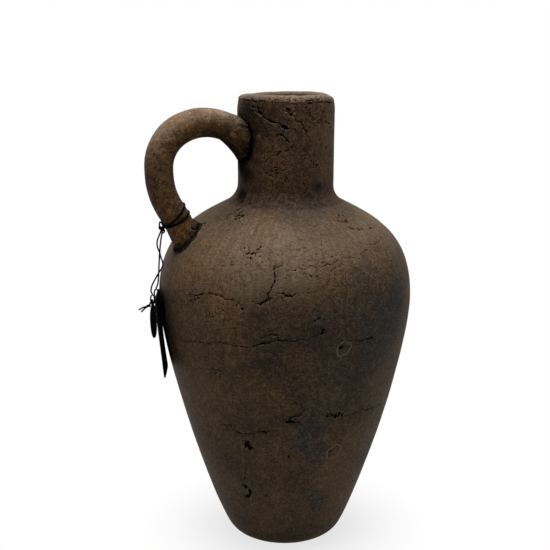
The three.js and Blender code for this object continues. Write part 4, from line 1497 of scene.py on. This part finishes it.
BODY_CLAY = fired_clay("clay_of_the_body", WHITE, WHITE, 0.26)
NECK_CLAY = fired_clay("clay_of_the_neck", (0.77, 0.66, 0.58, 1), (1.12, 1.02, 0.95, 1), 0.36, 1.0, 1.6)
LIP_CLAY = fired_clay("clay_of_the_lip", (1.5, 1.45, 1.5, 1), (1.5, 1.6, 1.9, 1), 0.28, 0.7, 1.4)
HANDLE_CLAY = fired_clay("clay_of_the_handle", (1.62, 1.34, 0.92, 1), (1.68, 1.78, 2.1, 1), 0.4, 0.6, 1.4)
LUTING_CLAY = fired_clay("clay_of_the_joints", (0.85, 0.72, 0.52, 1), WHITE, 0.5, 0.7, 1.4)
print("five clays")

# %% [markdown]
# ## The body
#
# The body is turned: its outline, outside and inside, is a chain of points that a full spin carries round
# the axis. A wheel leaves it true and a hand leaves it uneven, so each point then moves a little along its
# normal, by broad slow noise and by a finer one. The flat foot stays flat, because the jug stands on it.

# %% The body
BODY_STEPS = 180
OUTSIDE_STEPS = (7, 56, 32)
INSIDE_STEPS = (4, 24, 14)
DOUBLES = 0.02
UNEVEN = (0.55, 0.012)              # millimetres, and waves per millimetre
HANDLED = (0.2, 0.06)
FOOT_KEPT_FLAT = 4
FLAT_FOOT_INSET = 17


def turned(bm, outline, steps):
    """Spin an open outline once round the axis."""
    verts = [bm.verts.new(point) for point in outline]
    edges = [bm.edges.new(pair) for pair in zip(verts, verts[1:])]
    bmesh.ops.spin(bm, geom=verts + edges, cent=(0, 0, 0), axis=UP, angle=math.tau, steps=steps,
                   use_merge=True)
    bmesh.ops.remove_doubles(bm, verts=bm.verts, dist=DOUBLES)
    bmesh.ops.recalc_face_normals(bm, faces=bm.faces)


def hand_worked(bm):
    """Move each point along its normal by slow and quick noise, except at the foot."""
    bm.normal_update()
    for vert in bm.verts:
        slow = UNEVEN[0] * noise.noise(vert.co * UNEVEN[1])
        quick = HANDLED[0] * noise.noise(vert.co * HANDLED[1])
        vert.co += vert.normal * (slow + quick) * smooth_share(vert.co.z, FOOT_KEPT_FLAT, 3 * FOOT_KEPT_FLAT)


def body_piece():
    outside = body_outline(0, *OUTSIDE_STEPS)
    inside = body_outline(WALL_THICKNESS, *INSIDE_STEPS)
    bore = [at(BORE_RADIUS, outside[-1].z), at(BORE_RADIUS, inside[-1].z)]
    foot = [at(0, 0), at(FLAT_FOOT_INSET, 0)]
    bm = new_clay()
    turned(bm, foot + outside + bore + inside[::-1] + [at(0, WALL_THICKNESS)], BODY_STEPS)
    hand_worked(bm)
    carve(bm, body_marks)
    stain_clay(bm)
    return hand_over(bm, "clay_body", "body", "jug", BODY_CLAY)


body_piece()

# %% [markdown]
# ## The neck and the lip
#
# Both are turned like the body. The neck's root was smeared over the shoulder with a thumb, so its outline
# starts with a thin skirt just under the shoulder's skin. The lip is a coil pressed on to the neck, and the
# line between them rises and falls as the coil did: the top of the neck and the underside of the lip follow
# one list of lifts by bearing, and the rim follows another. A cylinder with a torus on it would be too true.

# %% The neck and the lip
NECK_STEPS = 160
NECK_ROWS = 40
SKIRT = 6
SKIRT_DEPTH = 0.9
LIP_OUTER_ROUND = 5
LIP_INNER_ROUND = 3.2
LIP_CREASE = 0.5
SEAM_LIFTS = [
    (-180, 0.4), (-100, 1.2), (-46, 1.7), (-26, 1.7), (-9, 0.8), (8, -0.2), (26, 0.4), (44, 0.8),
    (66, -0.5), (120, 0), (180, 0.4)]
RIM_LIFTS = [
    (-180, -0.2), (-150, -0.5), (-120, -0.8), (-88, -0.2), (-60, 0.3), (-20, 1.0), (8, 1.0), (22, 0.4),
    (38, 0.7), (60, 0), (88, -1.6), (120, -0.4), (155, 0.2), (180, -0.2)]
SEAM_REACH = 12                     # how far below the seam the neck follows its lifts
SMEARED_FILLET = 17                 # the root of the neck, after a thumb has smoothed it
TOP_TAPER = (0.028, 387, 398)       # how much narrower the top is, and between what heights
RIM_DENTS = 0.4
LIP_WEAR = 0.72
NECK_LEAN = 0.85                    # how far to the right the neck has settled
LEAN_HEIGHTS = (305, 328)           # it starts at the first and is full at the second
BORE_ROWS = 12
FILLET_ROWS = 12


def lifted(point, lifts):
    """How far a line round the mouth rises at one bearing, from a list of (bearing, rise)."""
    bearing = degrees_right(point)
    i = min(max(bisect(lifts, (bearing,)), 1), len(lifts) - 1)
    (start, low), (end, high) = lifts[i - 1], lifts[i]
    dent = RIM_DENTS * noise.noise(Vector((point.x, point.y, len(lifts))) * 0.1)
    return low + (high - low) * smooth_share(bearing, start, end) + dent


def inside_mouth(point):
    """A rule for soot and painted shade: no light and no cloth reaches into the neck."""
    inside = math.hypot(point.x, point.y) < BORE_RADIUS + LIP_INNER_ROUND
    return smooth_share(RIM_HEIGHT - point.z, 0.5, 6) if inside else 0


def lean(bm):
    """Narrow the top a little, and move all above the shoulder to the right, as seen from the front."""
    rightwards = from_front @ Vector((NECK_LEAN, 0, 0))
    share, low, high = TOP_TAPER
    for vert in bm.verts:
        vert.co.xy *= 1 - share * smooth_share(vert.co.z, low, high)
        vert.co += rightwards * smooth_share(vert.co.z, *LEAN_HEIGHTS)


def neck_piece():
    fillet = neck_fillet(SMEARED_FILLET, FILLET_ROWS)
    skirt = fillet[0] + DOWN_SLOPE * SKIRT - OUT_OF_SLOPE * SKIRT_DEPTH
    start = fillet_centre(SMEARED_FILLET).z
    length = LIP_SEAT_HEIGHT - start
    wall = [at(NECK_RADIUS, start + length * i / NECK_ROWS) for i in range(1, NECK_ROWS + 1)]
    depth = skirt.z - SKIRT_DEPTH - LIP_SEAT_HEIGHT
    bore = [at(BORE_RADIUS, LIP_SEAT_HEIGHT + depth * i / BORE_ROWS) for i in range(BORE_ROWS + 1)]
    bm = new_clay()
    turned(bm, [skirt] + fillet + wall + bore + [skirt], NECK_STEPS)
    hand_worked(bm)
    for vert in bm.verts:
        at_top = smooth_share(vert.co.z, LIP_SEAT_HEIGHT - SEAM_REACH, LIP_SEAT_HEIGHT)
        vert.co.z += lifted(vert.co, SEAM_LIFTS) * at_top
    carve(bm, neck_marks)
    stain_clay(bm)
    stain(bm, "soot_and_shade", inside_mouth)
    lean(bm)
    return hand_over(bm, "clay_neck", "neck", "jug", NECK_CLAY)


def lip_outline():
    crease = at(NECK_RADIUS - LIP_CREASE, LIP_SEAT_HEIGHT)
    outer_centre = at(NECK_RADIUS - LIP_OUTER_ROUND, RIM_HEIGHT - LIP_OUTER_ROUND)
    inner_centre = at(BORE_RADIUS + LIP_INNER_ROUND, RIM_HEIGHT - LIP_INNER_ROUND)
    outer = arc(outer_centre, LIP_OUTER_ROUND, 0, math.pi / 2, 10)
    inner = arc(inner_centre, LIP_INNER_ROUND, math.pi / 2, math.pi, 7)
    return [crease] + outer + inner + [at(BORE_RADIUS, LIP_SEAT_HEIGHT), crease]


def lip_piece():
    bm = new_clay()
    turned(bm, lip_outline(), NECK_STEPS)
    hand_worked(bm)
    for vert in bm.verts:
        high = smooth_share(vert.co.z, LIP_SEAT_HEIGHT, RIM_HEIGHT)
        vert.co.z += lifted(vert.co, SEAM_LIFTS) * (1 - high) + lifted(vert.co, RIM_LIFTS) * high
    carve(bm, lip_marks)
    stain_clay(bm)
    wiped_and_lit = bm.verts.layers.float["wiped_and_lit"]
    for vert in bm.verts:
        vert[wiped_and_lit] = LIP_WEAR * smooth_share(vert.co.z, LIP_SEAT_HEIGHT, RIM_HEIGHT - 1)
    stain(bm, "soot_and_shade", inside_mouth)
    lean(bm)
    return hand_over(bm, "clay_lip", "lip", "jug", LIP_CLAY)


neck_piece()
lip_piece()

# %% [markdown]
# ## The handle
#
# The handle is a ring of points carried along its axis. Its first and last rings slide along the straight
# ends until they are just inside the clay, so the rod always meets the curved wall. Its streaks run along
# the rod. Its upper side is rubbed pale and painted paler as a highlight, its underside carries painted
# shade, darker near the neck, and the line where the cord lies is darker too.

# %% The handle
HANDLE_SIDES = 64
HANDLE_SPACING = 1.2
END_CUT = 8                         # the last rings stand this far up the straight ends
HANDLE_WEAR_AND_HIGHLIGHT = 0.95
RUBBED_AND_LIT = (-0.1, 0.8)                # how far up the clay faces where wear and painted highlight start and where they are full
HANDLE_RUST = 0.8
RUST_PLACE = (100, 145)             # how far from the neck it starts and is full
CORD_DARKENING = 0.8
CORD_DARKENING_REACH = 0.9
CROWN_SWELL = 0.8                   # the coil is a little thicker where it bends over
CROWN_PLACE = (48, 28)              # how far from the neck, and over what reach
HANDLE_SAG = 0.5                    # how far its outer side has settled outwards
SAG_OUT = (80, 110)                 # the sag starts and is full at these distances from the jug's axis,
SAG_HEIGHTS = (305, 330)            # and at these heights
UNDERSIDE_SHADE = 0.3                    # painted shade on the underside of the coil,
NECK_END_SHADE = 0.45                # with more of it near the neck
NECK_END = (10, 45)                 # how far from the neck that starts to thin and has gone


def under_cord(line):
    """A rule for a darker band along the line where a cord lies."""
    tree = tree_of(line)

    def share_at(point):
        distance = tree.find(point)[2] - TWINE_DIAMETER / 2
        return CORD_DARKENING * math.exp(-max(0, distance / CORD_DARKENING_REACH) ** 2)

    return share_at


def handle_piece():
    bm = new_clay()
    line = resampled(handle_axis[END_CUT:-END_CUT], HANDLE_SPACING)
    rings = sweep(bm, capped_ring(bm, ROD_RADIUS, HANDLE_SIDES), frames_along(line))
    bmesh.ops.recalc_face_normals(bm, faces=bm.faces)
    hand_worked(bm)
    for ring, outwards in ((rings[0], upper_out), (rings[-1], lower_out)):
        for vert in ring:
            vert.co = meet_vessel(vert.co, -outwards, ROOT)
    stain_clay(bm)
    stain(bm, "soot_and_shade", under_cord(wrap_line()))
    bm.normal_update()
    meridian = bm.verts.layers.float_vector["meridian"]
    wiped_and_lit, soot_and_shade, rust = [bm.verts.layers.float[name] for name in ("wiped_and_lit", "soot_and_shade", "rust")]
    for i, ring in enumerate(rings):
        along = i * HANDLE_SPACING
        swell = CROWN_SWELL * math.exp(-((along - CROWN_PLACE[0]) / CROWN_PLACE[1]) ** 2)
        for vert in ring:
            vert.co += vert.normal * swell
            settled = smooth_share(-vert.co.x, *SAG_OUT) * smooth_share(vert.co.z, *SAG_HEIGHTS)
            vert.co.x -= HANDLE_SAG * settled
            vert[meridian] = vert.normal * ROD_RADIUS * MM + UP * along * MM
            # Wear and painted highlight on the upper side; painted shade underneath, darker near the neck
            vert[wiped_and_lit] = HANDLE_WEAR_AND_HIGHLIGHT * smooth_share(vert.normal.z, *RUBBED_AND_LIT)
            vert[rust] = HANDLE_RUST * smooth_share(along, *RUST_PLACE)
            in_shade = smooth_share(-vert.normal.z, 0, 0.8)
            near_neck = 1 - smooth_share(along, *NECK_END)
            vert[soot_and_shade] = max(vert[soot_and_shade], in_shade * (UNDERSIDE_SHADE + NECK_END_SHADE * near_neck))
    carve(bm, handle_marks)
    return hand_over(bm, "clay_handle", "handle", "jug", HANDLE_CLAY)


handle_piece()

# %% [markdown]
# ## The joints
#
# Each joint is a collar: one ring is extruded upwards in steps, and each new ring moves to the next level of
# the outlines drawn before. The lower one has torn a little, and a thin roll of clay curls off the wall.

# %% The joints
TUCKED = 3                          # how far the collar's last ring hides inside the rod
COLLAR_HEIGHT = 9                   # wear and painted highlight are full this far off the wall
# painted shade on the collar's underside
COLLAR_SHADE = 0.85
CURL = [(-84, 291), (-78, 292), (-69.5, 292.2), (-63.7, 292.2), (-60.9, 293.6)]
CURL_RADIUS = 1.1
CURL_SIDES = 10
CURL_STEP = 0.5
CURL_TAPER = 0.6
CURL_HIGHLIGHT_AND_SHADOW = 0.8                    # painted highlight on top and painted shadow underneath


def torn_flap(bm, curl):
    """A thin roll of clay that tapers off along the wall, with a painted highlight on top and painted shadow
    underneath.
    """
    ridge_and_highlight = bm.verts.layers.float["ridge_and_highlight"]
    groove_and_shadow = bm.verts.layers.float["groove_and_shadow"]
    section = capped_ring(bm, CURL_RADIUS, CURL_SIDES)
    line = resampled(smooth_line([on_vessel(*step) + UP * CURL_RADIUS for step in curl]), CURL_STEP)
    for i, ring in enumerate(sweep(bm, section, frames_along(line))):
        thin = 1 - CURL_TAPER * i / len(line)
        for vert in ring:
            vert.co = line[i] + (vert.co - line[i]) * thin
            vert[ridge_and_highlight if vert.co.z > line[i].z else groove_and_shadow] = CURL_HIGHLIGHT_AND_SHADOW


def collar_piece(name, node_name, joint, clay, curl=()):
    rings = [joint_ring(joint, level) for level in range(COLLAR_STEPS + 1)]
    under_skin = [point - joint.outwards * ROOT for point in rings[0]]
    tucked = [joint.end + radial * (ROD_RADIUS - TUCKED) for radial, rise in joint_sides(joint)]
    in_rod = [meet_vessel(point, -joint.outwards, ROOT) for point in tucked]
    bm = new_clay()
    ring = [bm.verts.new(point) for point in under_skin]
    edges = foot = [bm.edges.new(pair) for pair in zip(ring, ring[1:] + ring[:1])]
    for places in rings + [in_rod]:
        edges, ring = drawn_out(bm, edges)
        for vert, place in zip(ring, places):
            vert.co = place
    bmesh.ops.bridge_loops(bm, edges=foot + edges)
    bmesh.ops.recalc_face_normals(bm, faces=bm.faces)
    stain_clay(bm)
    carve(bm, handle_marks)
    soot_and_shade = bm.verts.layers.float["soot_and_shade"]
    wiped_and_lit = bm.verts.layers.float["wiped_and_lit"]
    for vert in bm.verts:
        off_wall = smooth_share((vert.co - joint.end).dot(joint.outwards), 0, COLLAR_HEIGHT)
        # Wear and painted highlight on the upper side; painted shade underneath
        vert[wiped_and_lit] = HANDLE_WEAR_AND_HIGHLIGHT * off_wall * smooth_share(vert.normal.z, *RUBBED_AND_LIT)
        vert[soot_and_shade] = max(vert[soot_and_shade], COLLAR_SHADE * smooth_share(-vert.normal.z, 0.1, 0.7))
    if curl:
        torn_flap(bm, curl)
    return hand_over(bm, name, node_name, "jug", clay)


collar_piece("clay_upper_joint", "upper_luting", UPPER_JOINT, HANDLE_CLAY)
collar_piece("clay_lower_joint", "lower_luting", LOWER_JOINT, LUTING_CLAY, CURL)
